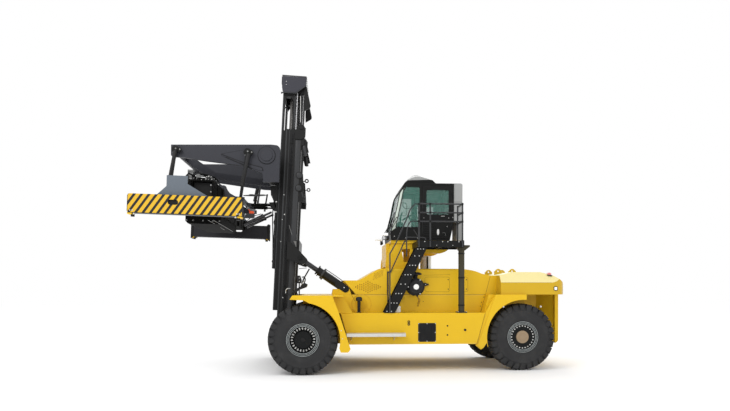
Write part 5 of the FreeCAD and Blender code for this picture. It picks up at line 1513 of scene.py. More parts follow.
        wires.tube([(2.82, -1.345, 1.85), (2.835, -1.35, 1.79), (2.865, -1.33, 1.74), (2.84, -1.29, 1.7),
                    (2.86, -1.2, 1.64), (2.865, -1.128, 1.6)], 0.008, 8)
        wires.tube([(2.815, -1.345, 1.85), (2.855, -1.36, 1.8), (2.893, -1.32, 1.77), (2.885, -1.24, 1.7),
                    (2.895, -1.128, 1.66)], 0.006, 8)
        disc = self.start("air_cleaner_badge", self.look.white)
        disc.turn([(-0.019, 0.0), (-0.029, 0.0), (-0.028, 0.06), (-0.024, 0.067), (-0.018, 0.066)],
                  Axis.Y, middle, 48)
        self.exhaust()
        bottle = self.start("coolant_bottle", self.look.white)
        bottle.plate(rounded((2.265, -1.395), (2.395, -1.245), 0.03), Axis.Z, 1.449, 1.615, 0.016)
        bottle.rod((2.33, -1.32, 1.612), (2.33, -1.32, 1.65), 0.026, 28, soft=0.004)

    def exhaust(self) -> None:
        """The silenced stack behind the cab, with its seam strip, bands and foot."""
        x, y = 3.3, 0.3
        stack = Shape(self.datum.chassis).turn(
            [(2.553, 0.0), (2.553, 0.15), (2.64, 0.152), (2.648, 0.156), (2.664, 0.156), (2.672, 0.152),
             (2.88, 0.152), (2.888, 0.156), (2.904, 0.156), (2.912, 0.152), (2.945, 0.148), (2.955, 0.11),
             (2.925, 0.098), (2.925, 0.0)], Axis.Z, (x, y, 0.0), 64)
        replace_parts(self.keep(stack, "exhaust_silencer", Body.CHASSIS, self.look.exhaust), "exhaust_stack")
        dark = self.start("exhaust_seam", self.look.iron)
        dark.block((x + 0.002, y - 0.16, 2.56), (x + 0.046, y - 0.14, 2.935), 0.004)
        dark.turn([(2.553, 0.15), (2.553, 0.176), (2.572, 0.176), (2.584, 0.158), (2.584, 0.15)],
                  Axis.Z, (x, y, 0.0), 56)

    def breather(self) -> None:
        """Ribs and a domed cap on the breather beside the louvres."""
        cap = self.start("breather_cap", self.look.plastic)
        centre = (1.36, -1.3, 0.0)
        cap.turn([(1.742, 0.061), (1.74, 0.074), (1.752, 0.08), (1.8, 0.08), (1.826, 0.07), (1.8415, 0.04),
                  (1.844, 0.0), (1.8, 0.0), (1.76, 0.05)], Axis.Z, centre, 48)
        for index in range(9):
            z = 1.478 + index * 0.028
            cap.turn(collar(z, 0.016, 0.037, 0.043, 0.004), Axis.Z, centre, 36)
        bolts = self.start("breather_bolts", self.look.zinc)
        bolts.bolts(
            [(1.36 + 0.05 * math.cos(a), -1.3 + 0.05 * math.sin(a), 1.4702)
             for a in (0.8, 2.37, 3.93, 5.5)], (0, 0, 1), 0.006, 0.005)

    def hood_top(self) -> None:
        """Seams, hinges and a grating on the top of the hood and cowl."""
        gaps = self.start("hood_seams", self.look.gap)
        parts = self.start("hood_hinges", self.look.black)
        for x in (2.96, 3.83):
            gaps.block((x - 0.004, -1.08, 2.5515), (x + 0.004, 1.08, 2.554))
        for y in (-0.35, 0.35):
            for x in (3.02, 3.4, 3.76):
                parts.block((x - 0.04, y - 0.018, 2.552), (x + 0.04, y + 0.018, 2.562), 0.004)
                parts.rod((x - 0.04, y, 2.564), (x + 0.04, y, 2.564), 0.009, 14)
        for index in range(22):
            y = -0.44 + index * 0.042
            parts.block((1.04, y - 0.006, 2.252), (1.34, y + 0.006, 2.262), 0.002)


# ------------------------------------------------------------------ cab


@dataclass
class Cab(Assembly):
    """Seals, lamps, roof cowl, seat and controls of the driver's cab."""

    wall: float = 0.8
    pane: float = 0.778
    voxel: float = 0.006
    frames: int = 20
    most: float = 0.026

    def make(self) -> None:
        """Make every piece of the cab."""
        self.seals()
        self.door_face()
        self.roof_cowl()
        self.rear_unit()
        self.front_fittings()
        self.controls()
        self.seat()

    def seals(self) -> None:
        """Rubber round the panes, sliding frames, and the windscreen's curved corners in pale, nearly opaque glass
        as a painted reflection.
        """
        seals = self.start("window_seals", self.look.seal)
        corners = self.start("corner_glass", self.look.painted_reflection_glass)
        bolts = self.start("cab_bolts", self.look.zinc)
        front = [(2.318, 3.62), (2.985, 3.62), (2.985, 4.64), (2.967, 4.682), (2.925, 4.7), (2.6, 4.7),
                 (2.52, 4.57), (2.44, 4.16), (2.345, 3.76)]
        for side in Side:
            wall = side.value * self.wall
            sign = side.value
            self.border(seals, front, wall, 0.022, 0.004)
            self.border(seals, rounded((2.52, 4.12), (2.84, 4.5), 0.075), sign * self.pane, 0.015, 0.0)
            self.strip(seals, (2.84, 4.128), (2.985, 4.128), sign * self.pane, 0.015, 0.0)
            self.strip(seals, (2.335, 3.64), (2.555, 4.69), wall, 0.013, 0.006)
            # Pale corner panes: a painted reflection on the curved glass.
            corners.plate([(2.232, 3.545), (2.33, 3.61), (2.44, 4.15), (2.518, 4.56), (2.565, 4.655),
                           (2.51, 4.6), (2.456, 4.52), (2.38, 4.15)], Axis.Y, wall + sign * 0.001,
                          wall + sign * 0.005, 0.001)
            for x, z in ((2.3, 3.4), (2.6, 3.36), (2.9, 3.36), (3.833, 4.494), (3.833, 3.9)):
                bolts.bolts([(x, wall, z)], (0, sign, 0), 0.007, 0.005)
        self.border(seals, rounded((3.115, 3.95), (3.745, 4.63), 0.07), self.wall, 0.022, 0.004)
        for y in (-0.738, 0.738):
            seals.tube([(2.214, y, 3.52), (2.376, y, 4.157), (2.454, y, 4.546), (2.482, y, 4.612)],
                       0.01, 8, False)
        seals.tube([(2.214, -0.74, 3.522), (2.214, 0.74, 3.522)], 0.01, 8, False)
        seals.tube([(2.482, -0.74, 4.612), (2.482, 0.74, 4.612)], 0.01, 8, False)

    def door_face(self) -> None:
        """The door's seal, pressed panels, louvres, pull and lock plate."""
        seal = self.start("door_seals", self.look.seal, Body.DOOR)
        panel = self.start("door_panels", self.look.black, Body.DOOR)
        bright = self.start("door_furniture", self.look.zinc, Body.DOOR)
        pale = self.start("door_lock_plate", self.look.white, Body.DOOR)
        wall = -self.wall
        self.border(seal, rounded((3.115, 3.95), (3.745, 4.63), 0.07), wall, 0.022, 0.004)
        self.border(seal, [(3.052, 3.355), (3.706, 3.355), (3.795, 3.785), (3.795, 4.704), (3.052, 4.704)],
                    wall, 0.016, 0.004)
        self.strip(seal, (3.12, 3.905), (3.7, 3.905), wall, 0.01, 0.004)
        self.strip(seal, (3.12, 3.84), (3.56, 3.84), wall, 0.01, 0.004)
        self.border(panel, rounded((3.34, 3.4), (3.668, 3.79), 0.03), wall, 0.014, 0.008)
        for index in range(6):
            z = 3.43 + index * 0.06
            panel.plate([(wall + 0.002, z), (wall - 0.012, z), (wall - 0.004, z + 0.034),
                         (wall + 0.002, z + 0.034)], Axis.X, 3.085, 3.32)
        self.border(panel, rounded((3.074, 3.41), (3.331, 3.8), 0.02), wall, 0.01, 0.006)
        pale.plate([(3.442 + 0.03 * math.cos(t), 3.522 + (0.07 if math.sin(t) > 0 else 0.088) * math.sin(t))
                    for t in turns(24)], Axis.Y, wall + 0.001, wall - 0.01, 0.003)
        for x, z in ((3.68, 3.659), (3.72, 3.88), (3.07, 3.88)):
            bright.bolts([(x, wall, z)], (0, -1, 0), 0.007, 0.005)
        bright.rod((3.52, wall - 0.016, 3.925), (3.61, wall - 0.016, 3.925), 0.009, 14, soft=0.003)
        for x in (3.525, 3.605):
            bright.rod((x, wall + 0.002, 3.925), (x, wall - 0.018, 3.925), 0.007, 10)
        for x, z in around((3.59, 3.455), 0.05, range(-60, 117, 22)):
            bright.rod((x, wall + 0.001, z), (x, wall - 0.003, z), 0.0035, 8)

    def roof_cowl(self) -> None:
        """The grey hump of the roof fan over its dark visor."""
        visor = Shape(self.datum.chassis).plate(
            [(2.566, 4.742), (2.572, 4.79), (2.618, 4.846), (2.672, 4.884), (3.28, 4.904), (3.336, 4.89),
             (3.392, 4.83), (3.45, 4.792), (3.45, 4.774), (2.66, 4.774)], Axis.Y, -0.64, 0.64, 0.012)
        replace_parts(self.keep(visor, "roof_visor", Body.CHASSIS, self.look.black), "roof_unit")
        hump = Shape(self.datum.chassis)
        profile = [(2.655, 4.876), (2.69, 4.925), (2.742, 4.98), (2.805, 5.03), (2.87, 5.06), (2.935, 5.066),
                   (3.01, 5.052), (3.11, 5.02), (3.21, 4.982), (3.29, 4.94), (3.322, 4.906), (3.28, 4.89)]
        rings = 13
        points = []
        for ring in range(rings):
            share = -1.0 + 2.0 * ring / (rings - 1)
            drop = 1.0 - 0.42 * abs(share) ** 3.2
            for x, z in profile:
                points.append((3.0 + (x - 3.0) * (1.0 - 0.1 * abs(share) ** 4), share * 0.6,
                               4.88 + (z - 4.88) * drop))
        count = len(profile)
        faces = [*bands(rings, count), tuple(range(count - 1, -1, -1)),
                 tuple(range((rings - 1) * count, rings * count))]
        made = hump.surface(points, faces)
        bmesh.ops.recalc_face_normals(hump.mesh, faces=made)
        for y in (-0.35, 0.0, 0.35):
            hump.tube([(2.7, y, 4.935), (2.87, y, 5.064), (3.01, y, 5.056), (3.29, y, 4.944)], 0.007, 8)
        self.keep(hump, "roof_hump", Body.CHASSIS, self.look.hump, 50.0)
        trims = self.start("roof_trim", self.look.black)
        for y in (-0.801, 0.801):
            trims.block((2.64, y - 0.005, 4.755), (3.862, y + 0.005, 4.779), 0.003)
        for x in (3.56, 3.66, 3.76):
            trims.block((x - 0.012, -0.7, 4.773), (x + 0.012, 0.7, 4.786), 0.004)

    def rear_unit(self) -> None:
        """Seams, fins and a grille on the cooling unit behind the cab."""
        fins = self.start("rear_unit_fins", self.look.pale)
        seams = self.start("rear_unit_seams", self.look.iron)
        for index in range(6):
            x = 3.958 + index * 0.023
            fins.block((x, -0.786, 3.335), (x + 0.01, -0.778, 3.78), 0.002)
        for index in range(14):
            y = -0.755 + index * 0.044
            fins.block((4.088, y, 3.34), (4.096, y + 0.02, 3.78), 0.003)
        for index in range(16):
            z = 3.9 + index * 0.045
            fins.plate([(4.086, z), (4.1, z), (4.086, z + 0.03)], Axis.Y, -0.52, 0.52)
        for z in (4.3, 3.806):
            seams.block((3.862, -0.7815, z), (4.08, -0.779, z + 0.006))
            seams.block((3.862, 0.779, z), (4.08, 0.7815, z + 0.006))

    def front_fittings(self) -> None:
        """Arms, work lamps and wipers at the front of the cab."""
        black = self.start("cab_arms", self.look.plastic)
        clear = self.start("cab_lamps", self.look.clear)
        for side in Side:
            y = side.value * 0.86
            black.tube([(2.345, y, 3.88), (2.33, y, 3.85), (2.128, y, 3.49), (2.14, y, 3.462),
                        (2.23, side.value * 0.802, 3.44)], 0.01, 8)
            black.tube([(2.352, y, 3.8), (2.29, y, 3.7), (2.17, y, 3.478)], 0.008, 8)
            black.rod((2.345, y, 3.88), (2.385, side.value * 0.8, 3.88), 0.009, 10)
            black.turn([(2.078, 0.03), (2.082, 0.052), (2.11, 0.058), (2.14, 0.05), (2.164, 0.022),
                        (2.166, 0.0), (2.085, 0.0)], Axis.X, (0.0, y, 3.346), 32)
            black.rod((2.14, y, 3.38), (2.16, y, 3.45), 0.012, 10)
            clear.turn([(2.074, 0.0), (2.078, 0.03), (2.084, 0.046), (2.088, 0.0)], Axis.X,
                       (0.0, y, 3.346), 32)
            clear.turn([(1.93, 0.004), (1.934, 0.016), (2.0, 0.02), (2.08, 0.038), (2.128, 0.04),
                        (2.134, 0.0), (1.93, 0.0)], Axis.X, (0.0, y, 3.44), 28)
            low, high = (2.206, side.value * 0.14, 3.545), (2.29, side.value * 0.4, 3.9)
            black.tube([low, ((low[0] + high[0]) / 2 - 0.01, (low[1] + high[1]) / 2, (low[2] + high[2]) / 2),
                        high], 0.008, 8)
            black.tube([(2.236, side.value * 0.3, 3.62), (2.34, side.value * 0.5, 4.06)], 0.011, 8, False)

    def controls(self) -> None:
        """Levers, arm rests, a display and the wheel's grip inside the cab."""
        black = self.start("cab_controls", self.look.plastic)
        bright = self.start("dash_trim", self.look.zinc)
        glass = self.start("dash_display", self.look.screen)
        for index in range(4):
            x = 3.08 + index * 0.09
            black.tube([(x, 0.38, 3.895), (x - 0.01, 0.38, 3.98), (x - 0.02, 0.375, 4.04)], 0.008, 8)
            black.turn([(4.03, 0.012), (4.04, 0.022), (4.066, 0.026), (4.088, 0.018), (4.092, 0.0),
                        (4.03, 0.0)], Axis.Z, (x - 0.02, 0.375, 0.0), 20)
        for y in (-0.335, 0.265):
            black.plate(rounded((3.06, y - 0.035), (3.43, y + 0.035), 0.03), Axis.Z, 3.985, 4.03, 0.012)
            black.tube([(3.36, y, 3.99), (3.44, y, 3.94), (3.49, y * 0.75, 3.9)], 0.018, 10)
        black.plate([(2.505, 3.9), (2.53, 3.892), (2.59, 4.09), (2.566, 4.098)], Axis.Y, -0.3, -0.08, 0.006)
        black.rod((2.53, -0.19, 3.82), (2.545, -0.19, 3.92), 0.014, 12)
        glass.plate([(2.5315, 3.905), (2.534, 3.904), (2.59, 4.078), (2.5875, 4.079)], Axis.Y, -0.286, -0.094)
        for y in (-0.1, 0.1):
            black.plate([(2.63, 3.36), (2.72, 3.36), (2.7, 3.392), (2.64, 3.392)], Axis.Y,
                        y - 0.06, y + 0.06, 0.006)
        column = Seat(self.datum.front_axle.x + 2.79, 0.0, 4.01, math.radians(-28))
        wheel = self.start("wheel_grip", self.look.plastic, seat=column)
        wheel.turn([(0.019 * math.sin(a), 0.19 + 0.019 * math.cos(a)) for a in turns(12)], Axis.Z,
                   (0, 0, 0), 56)
        wheel.turn([(-0.014, 0.0), (-0.014, 0.05), (0.006, 0.056), (0.02, 0.044), (0.026, 0.0)], Axis.Z,
                   (0, 0, 0), 32)
        wheel.rod((0.115, -0.15, 0.01), (0.115, -0.15, 0.065), 0.02, 16, 0.024, soft=0.006)
        bright.block((2.452, -0.24, 3.798), (2.47, 0.24, 3.812), 0.003)
        black.block((3.03, 0.67, 4.37), (3.83, 0.74, 4.735), 0.01)
        black.block((2.62, 0.67, 4.6), (3.01, 0.74, 4.735), 0.01)

    def seat(self) -> None:
        """The sprung seat's cushion and back, puffed out from cut blocks."""
        pieces = [
            self.pad("seat_cushion", (2.998, -0.218, 3.766), (3.455, 0.218, 3.858), 0.0, (3.0, 3.8)),
            self.pad("seat_back", (3.478, -0.208, 3.8), (3.56, 0.208, 4.462), math.radians(4.0), (3.48, 3.8)),
        ]
        for piece in pieces:
            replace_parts(piece, "driver_seat")
        piping = self.start("seat_frame", self.look.plastic)
        for y in (-0.222, 0.222):
            piping.tube([(2.996, y, 3.812), (3.02, y, 3.812), (3.43, y, 3.812), (3.46, y, 3.812)], 0.006, 8)
        piping.block((3.02, -0.16, 3.738), (3.44, 0.16, 3.752), 0.005)
        piping.plate([(3.44, 3.75), (3.48, 3.75), (3.575, 4.4), (3.56, 4.402)], Axis.Y, -0.15, 0.15, 0.005)

    def pad(self, name: str, low: Point, high: Point, lean: float, foot: Flat) -> bpy.types.Object:
        """Blow up a closed cloth block by simulation, then sew its channels.

        Args:
            name: the piece's name.
            low: the block's lowest corner.
            high: its highest corner.
            lean: how far it leans back, in radians.
            foot: the place it leans about, as x and z.

        Returns:
            The finished pad.
        """
        shape = Shape(self.datum.chassis).block(low, high, 0.022)
        piece = self.keep(shape, name, Body.CHASSIS, self.look.cloth, 60.0)
        upright = high[2] - low[2] > 0.3
        self.inflate(piece)
        base = self.datum.front_axle.x
        for vertex in piece.data.vertices:
            x, y, z = vertex.co
            seam = min(abs(y - place) for place in (-0.105, 0.105))
            along = min(abs((z if upright else x) - place) for place in
                        ((4.02, 4.24) if upright else (base + 3.16, base + 3.32)))
            groove = 0.007 * math.exp(-(seam / 0.008) ** 2)
            groove = max(groove, 0.006 * math.exp(-(along / 0.008) ** 2) if abs(y) < 0.105 else 0.0)
            if upright:
                x += groove if x < base + (low[0] + high[0]) / 2 else 0.0
            else:
                z -= groove if z > (low[2] + high[2]) / 2 else 0.0
            ahead, above = x - base - foot[0], z - foot[1]
            vertex.co = (base + foot[0] + ahead * math.cos(lean) + above * math.sin(lean), y,
                         foot[1] - ahead * math.sin(lean) + above * math.cos(lean))
        return piece

    @staticmethod
    def applied(piece: bpy.types.Object) -> None:
        """Bake a piece's modifiers into its mesh."""
        graph = bpy.context.evaluated_depsgraph_get()
        mesh = bpy.data.meshes.new_from_object(piece.evaluated_get(graph))
        piece.modifiers.clear()
        piece.data = mesh

    def subdivide(self, piece: bpy.types.Object, levels: int) -> None:
        """Subdivide a piece smoothly and bake it."""
        modifier = piece.modifiers.new("smooth", "SUBSURF")
        modifier.levels = modifier.render_levels = levels
        self.applied(piece)

    def inflate(self, piece: bpy.types.Object) -> None:
        """Remesh a piece, fill it with air as cloth, and keep each point near its place.

        Args:
            piece: the closed block.
        """
        remesh = piece.modifiers.new("remesh", "REMESH")
        remesh.mode, remesh.voxel_size = "VOXEL", self.voxel
        self.applied(piece)
        rest = [vertex.co.copy() for vertex in piece.data.vertices]
        cloth = piece.modifiers.new("cloth", "CLOTH")
        cloth.settings.use_pressure = True
        cloth.settings.uniform_pressure_force = 4.0
        cloth.settings.effector_weights.gravity = 0.0
        cloth.point_cache.frame_start, cloth.point_cache.frame_end = 1, self.frames
        scene = bpy.context.scene
        for step in range(1, self.frames + 1):
            scene.frame_set(step)
        self.applied(piece)
        scene.frame_set(1)
        for vertex, start in zip(piece.data.vertices, rest):
            move = vertex.co - start
            if move.length > self.most:
                vertex.co = start + move.normalized() * self.most
        self.subdivide(piece, 1)
        for face in piece.data.polygons:
            face.use_smooth = True


@dataclass
class Access(Assembly):
    """Bolts, treads and clamps of the ladder, the platform and the rails."""

    foot: float = 1.96
    run: float = 0.8
    rise: float = 1.615
    deck: float = 1.45
    steps: int = 7
    edge: float = -1.65
    posts: float = -1.67

    def make(self) -> None:
        """Make the small parts of the way up."""
        bolts = self.start("access_bolts", self.look.zinc)
        grips = self.start("access_grips", self.look.black)
        for step in range(self.steps + 1):
            share = step / self.steps
            z = self.deck + max(0.04, share * self.rise + 0.015)
            x = self.foot + share * self.run
            if z > self.deck + self.rise - 0.03:
                z -= 0.06
                x -= 0.03
            places = [(x + reach, -1.6, z) for reach in ((0.06, 0.13, 0.2) if step % 3 else (0.07, 0.18))]
            bolts.bolts(places, (0, -1, 0), 0.009, 0.008)
        for x in (2.8, 2.955, 3.395, 3.525, 3.8):
            bolts.bolts([(x, self.edge, 3.2)], (0, -1, 0), 0.009, 0.008)
        for x in (3.1, 3.25, 3.65):
            bolts.bolts([(x, self.edge, 3.11)], (0, -1, 0), 0.006, 0.005)
        for step in range(1, self.steps):
            z = self.deck + step * self.rise / self.steps + 0.03
            x = self.foot + 0.035 + step * self.run / self.steps
            for row in range(4):
                grips.block((x + 0.02 + row * 0.045, -1.56, z - 0.001),
                            (x + 0.035 + row * 0.045, -1.2, z + 0.005), 0.002)
        for row in range(10):
            x = 2.8 + row * 0.115
            grips.block((x, -1.63, 3.224), (x + 0.02, -0.86, 3.229), 0.002)
        for index in range(17):
            y = -1.62 + index * 0.047
            grips.block((2.79, y, 3.224), (3.925, y + 0.008, 3.228))
        for x in (2.808, 3.085, 3.885):
            for z in (4.12, 3.905, 3.69):
                grips.turn(collar(z - 0.026, 0.052, 0.021, 0.0255, 0.002), Axis.Z, (x, self.posts, 0.0), 20)
            grips.turn([(3.228, 0.021), (3.228, 0.04), (3.236, 0.04), (3.238, 0.021)], Axis.Z,
                       (x, self.posts, 0.0), 20)
        for z in (1.62, 2.3, 2.9):
            grips.turn(collar(z, 0.034, 0.075, 0.082, 0.004), Axis.Z, (3.9, -1.48, 0.0), 36)
        bolts.bolts([(3.8, -1.58, 1.475), (4.0, -1.58, 1.475), (3.8, -1.38, 1.475), (4.0, -1.38, 1.475)],
                    (0, 0, 1), 0.012, 0.01)
        # The stair rails take the lighter grey: a painted highlight.
        rails = self.start("stair_rails", self.look.guide)
        rails.tube([(2.808, self.edge, 3.697), (2.506, self.edge, 3.697),
                    (2.506, self.edge, 2.857)], 0.014, 10)
        rails.tube([(2.506, self.edge, 3.303), (2.973, self.edge, 3.303),
                    (2.973, self.edge, 3.24)], 0.013, 10)
        rails.tube([(2.679, self.edge, 3.492), (2.8, self.edge, 3.303)], 0.009, 8)


# ------------------------------------------------------------------ mast


@dataclass
class Mast(Assembly):
    """Wear strips, hoses, chain and fastenings of the mast and its tilt cylinders."""

    outer: float = 0.7
    inner: float = 0.545
    head: float = 0.63
    hoist: float = 0.534
    tilt_base: Flat = (1.03, 2.04)
    tilt_ear: Flat = (0.234, 2.084)
    tilt_y: float = 0.96

    def make(self) -> None:
        """Make the mast's small parts."""
        self.outer_columns()
        self.inner_columns()
        self.carriage()
        self.guards()
        self.tilt_cylinders()
        self.front_corner()

    def outer_columns(self) -> None:
        """Flange edges and a rounded rear band in lighter grey as a painted highlight, pressure pipes and bolts.
        """
        strips = self.start("mast_flanges", self.look.guide, Body.OUTER_MAST)
        pipes = self.start("mast_pipes", self.look.hose, Body.OUTER_MAST)
        clamps = self.start("mast_clamps", self.look.black, Body.OUTER_MAST)
        bolts = self.start("mast_bolts", self.look.zinc, Body.OUTER_MAST)
        wedge = self.start("mast_wedges", self.look.dull, Body.OUTER_MAST)
        for side in Side:
            sign, wall = side.value, side.value * self.outer
            for low, high, proud in ((-0.3, -0.266, 0.01), (-0.212, -0.196, 0.006)):
                strips.block((low, wall - sign * 0.004, -0.19), (high, wall + sign * proud, 5.385), 0.003)
            arc = [(0.022 + 0.07 * math.cos(t), wall + sign * (0.02 * math.sin(t) - 0.003))
                   for t in turns(20)[:11]]
            strips.plate(arc, Axis.Z, -0.19, 5.12)
            for x in (-0.15, -0.118):
                pipes.tube([(x, wall + sign * 0.012, 0.35), (x, wall + sign * 0.012, 5.22),
                            (x + 0.03, wall + sign * 0.012, 5.3)], 0.01, 8)
            for index in range(9):
                z = 0.55 + index * 0.56
                clamps.block((-0.172, wall, z), (-0.096, wall + sign * 0.026, z + 0.03), 0.004)
            for x, z in ((-0.29, 2.496), (-0.231, 3.194), (-0.275, 3.701), (-0.282, 3.06), (-0.17, 1.059)):
                bolts.bolts([(x, wall, z)], (0, sign, 0), 0.011, 0.012)
            wedge.plate([(0.03, 2.526), (0.108, 2.518), (0.11, 2.358)], Axis.Y,
                        wall, wall + sign * 0.03, 0.003)
            wedge.rod((-0.102, wall + sign * 0.008, 2.926), (0.04, wall + sign * 0.008, 2.53), 0.006, 10)
            for z in (0.05, 0.32):
                bolts.bolts([(x, wall, z) for x in (-0.24, -0.06, 0.06)], (0, sign, 0), 0.011, 0.01)

    def inner_columns(self) -> None:
        """Wear strips and the head's bolts, a chain and slim guide rods."""
        strips = self.start("inner_strips", self.look.guide, Body.INNER_MAST)
        bolts = self.start("inner_bolts", self.look.zinc, Body.INNER_MAST)
        chain = self.start("hose_chain", self.look.bright_chain, Body.INNER_MAST)
        rods = self.start("guide_rods", self.look.zinc, Body.INNER_MAST)
        plates = self.start("head_plates", self.look.head, Body.INNER_MAST)
        hoses = self.start("head_hoses", self.look.hose, Body.INNER_MAST)
        for side in Side:
            sign, wall = side.value, side.value * self.inner
            strips.block((-0.43, wall, 0.74), (-0.402, wall + sign * 0.006, 6.3), 0.002)
            strips.block((-0.128, wall, 5.47), (-0.104, wall + sign * 0.006, 6.3), 0.002)
            head, hoist = sign * self.head, sign * self.hoist
            bolts.bolts([(-0.354, head, 6.641), (-0.352, head, 6.56)], (0, sign, 0), 0.009, 0.01)
            plates.plate([(-0.462, 6.776), (0.148, 6.776), (0.148, 6.568), (-0.112, 6.372), (-0.44, 6.372),
                          (-0.462, 6.48)], Axis.Y, head - sign * 0.002, head + sign * 0.003)
            strips.block((-0.47, head, 6.778), (0.155, head + sign * 0.005, 6.806), 0.002)
            strips.plate([(-0.48, 6.31), (-0.44, 6.33), (-0.4, 6.345), (-0.1, 6.345), (0.16, 6.56),
                          (0.16, 6.58), (-0.11, 6.365), (-0.48, 6.365)], Axis.Y, head - sign * 0.003,
                         head + sign * 0.005)
            rods.rod((0.024, sign * 0.6, 6.3), (0.052, sign * 0.6, 5.62), 0.006, 8)
            for link in range(21):
                z = 5.44 + link * 0.049
                wide = 0.009 if link % 2 else 0.006
                chain.plate(rounded((-0.062 - 0.014, z), (-0.062 + 0.014, z + 0.046), 0.012, 3), Axis.Y,
                            hoist - wide, hoist + wide, 0.0015)
                chain.rod((-0.062, hoist - 0.01, z + 0.047), (-0.062, hoist + 0.01, z + 0.047), 0.006, 8)
            for x in (0.026, 0.05):
                hoses.tube([(x, hoist, 6.42), (x, hoist, 6.0), (x - 0.004, hoist, 5.59)], 0.01, 8)

    def carriage(self) -> None:
        """Roller caps, bolts and a hose bracket on the carriage."""
        caps = self.start("roller_caps", self.look.iron, Body.CARRIAGE, self.datum.mast)
        bolts = self.start("carriage_bolts", self.look.zinc, Body.CARRIAGE, self.datum.mast)
        black = self.start("carriage_brackets", self.look.black, Body.CARRIAGE, self.datum.mast)
        for side in Side:
            sign = side.value
            for z in (1.98, 2.62, 4.05, 4.66):
                caps.turn(pin_cap(sign, 0.559, 0.566, 0.574, 0.03, 0.044), Axis.Y, (-0.47, 0.0, z), 28)
            bolts.bolts([(-0.47, sign * 0.56, 3.53), (-0.47, sign * 0.56, 3.267)], (0, sign, 0), 0.013, 0.012)
            black.plate([(-0.66, 3.505), (-0.5, 3.52), (-0.462, 3.42), (-0.5, 3.3), (-0.6, 3.4)], Axis.Y,
                        sign * 0.47, sign * 0.56, 0.008)
            black.tube([(-0.54, sign * 0.52, 3.44), (-0.56, sign * 0.5, 3.2), (-0.52, sign * 0.46, 2.6),
                        (-0.5, sign * 0.44, 2.05)], 0.014, 10)

    def guards(self) -> None:
        """Pads, lugs and pin caps behind the outer columns."""
        pads = self.start("guard_pads", self.look.guide, Body.OUTER_MAST)
        rings = self.start("lift_lugs", self.look.black, Body.OUTER_MAST)
        caps = self.start("sheave_caps", self.look.guide, Body.OUTER_MAST)
        for side in Side:
            sign = side.value
            y = sign * 0.66
            for low, high in (((0.262, 4.745), (0.218, 5.0)), ((0.262, 3.66), (0.222, 3.8))):
                pads.rod((low[0] - 0.04, y, low[1]), (high[0] - 0.04, y, high[1]), 0.042, 24, soft=0.01)
            rings.turn([(sign * 0.69 + 0.014 * math.sin(t), 0.04 + 0.015 * math.cos(t))
                        for t in turns(10)], Axis.Y, (0.293, 0.0, 4.091), 28)
            rings.rod((0.1, sign * 0.69, 4.05), (0.256, sign * 0.69, 4.082), 0.012, 12)
            for x, z, radius in ((0.088, 5.463, 0.048), (0.095, 4.219, 0.07), (0.095, 3.895, 0.07)):
                caps.turn(pin_cap(sign, 0.728, 0.733, 0.737, radius * 0.82, radius), Axis.Y, (x, 0.0, z), 36)

    def tilt_cylinders(self) -> None:
        """Flanges, glands, ports and the eyes of the tilt cylinders."""
        foot = Vector(self.tilt_base)
        ear = Vector((self.tilt_ear[0], 0.0, self.tilt_ear[1]))
        place = self.datum.mast.matrix() @ ear
        way = Vector((place.x - self.datum.front_axle.x, place.z)) - foot
        tilt = Seat(self.datum.front_axle.x + foot.x, 0.0, foot.y, math.atan2(way.x, way.y))
        disc = self.start("tilt_flanges", self.look.guide, Body.TILT_BARRELS, tilt)
        cheeks = self.start("tilt_cheeks", self.look.mast, Body.TILT_BARRELS, tilt)
        bolts = self.start("tilt_bolts", self.look.dull, Body.TILT_BARRELS, tilt)
        ports = self.start("tilt_ports", self.look.hose, Body.TILT_BARRELS, tilt)
        eyes = self.start("tilt_eyes", self.look.black)
        heads = self.start("tilt_eye_bolts", self.look.zinc)
        ears = self.start("tilt_ear_caps", self.look.black, Body.OUTER_MAST)
        for side in Side:
            y = side.value * self.tilt_y
            centre = (0.0, y, 0.0)
            disc.turn([(0.664, 0.07), (0.664, 0.142), (0.67, 0.148), (0.702, 0.148), (0.708, 0.142),
                       (0.708, 0.07)], Axis.Z, centre, 44)
            disc.turn([(0.77, 0.06), (0.77, 0.094), (0.85, 0.092), (0.858, 0.084), (0.858, 0.06)], Axis.Z,
                      centre, 40)
            disc.turn([(0.11, 0.08), (0.11, 0.1), (0.13, 0.102), (0.15, 0.1), (0.15, 0.08)], Axis.Z,
                      centre, 40)
            bolts.bolts([(0.122 * math.cos(t), y + 0.122 * math.sin(t), 0.708)
                         for t in turns(10)], (0, 0, 1), 0.008, 0.008)
            for reach in (0.17, 0.69):
                ports.rod((0.07, y, reach), (0.122, y, reach), 0.018, 14, soft=0.003)
            ports.tube([(0.118, y, 0.69), (0.134, y, 0.66), (0.134, y, 0.2), (0.118, y, 0.17)], 0.009, 8)
            cheeks.plate(rounded((-0.092, -0.092), (0.092, 0.3), 0.088), Axis.Y, side.value * 1.0925,
                         side.value * 1.108, 0.005)
            eyes.turn([(side.value * 1.09, 0.0), (side.value * 1.112, 0.0), (side.value * 1.114, 0.06),
                       (side.value * 1.108, 0.08), (side.value * 1.09, 0.084)], Axis.Y,
                      (foot.x, 0.0, foot.y), 40)
            heads.bolts([(foot.x - 0.034, side.value * 1.113, foot.y + 0.034)],
                        (0, side.value, 0), 0.011, 0.008)
            ears.turn(pin_cap(side.value, 1.093, 1.098, 1.104, 0.044, 0.052), Axis.Y, tuple(ear), 32)

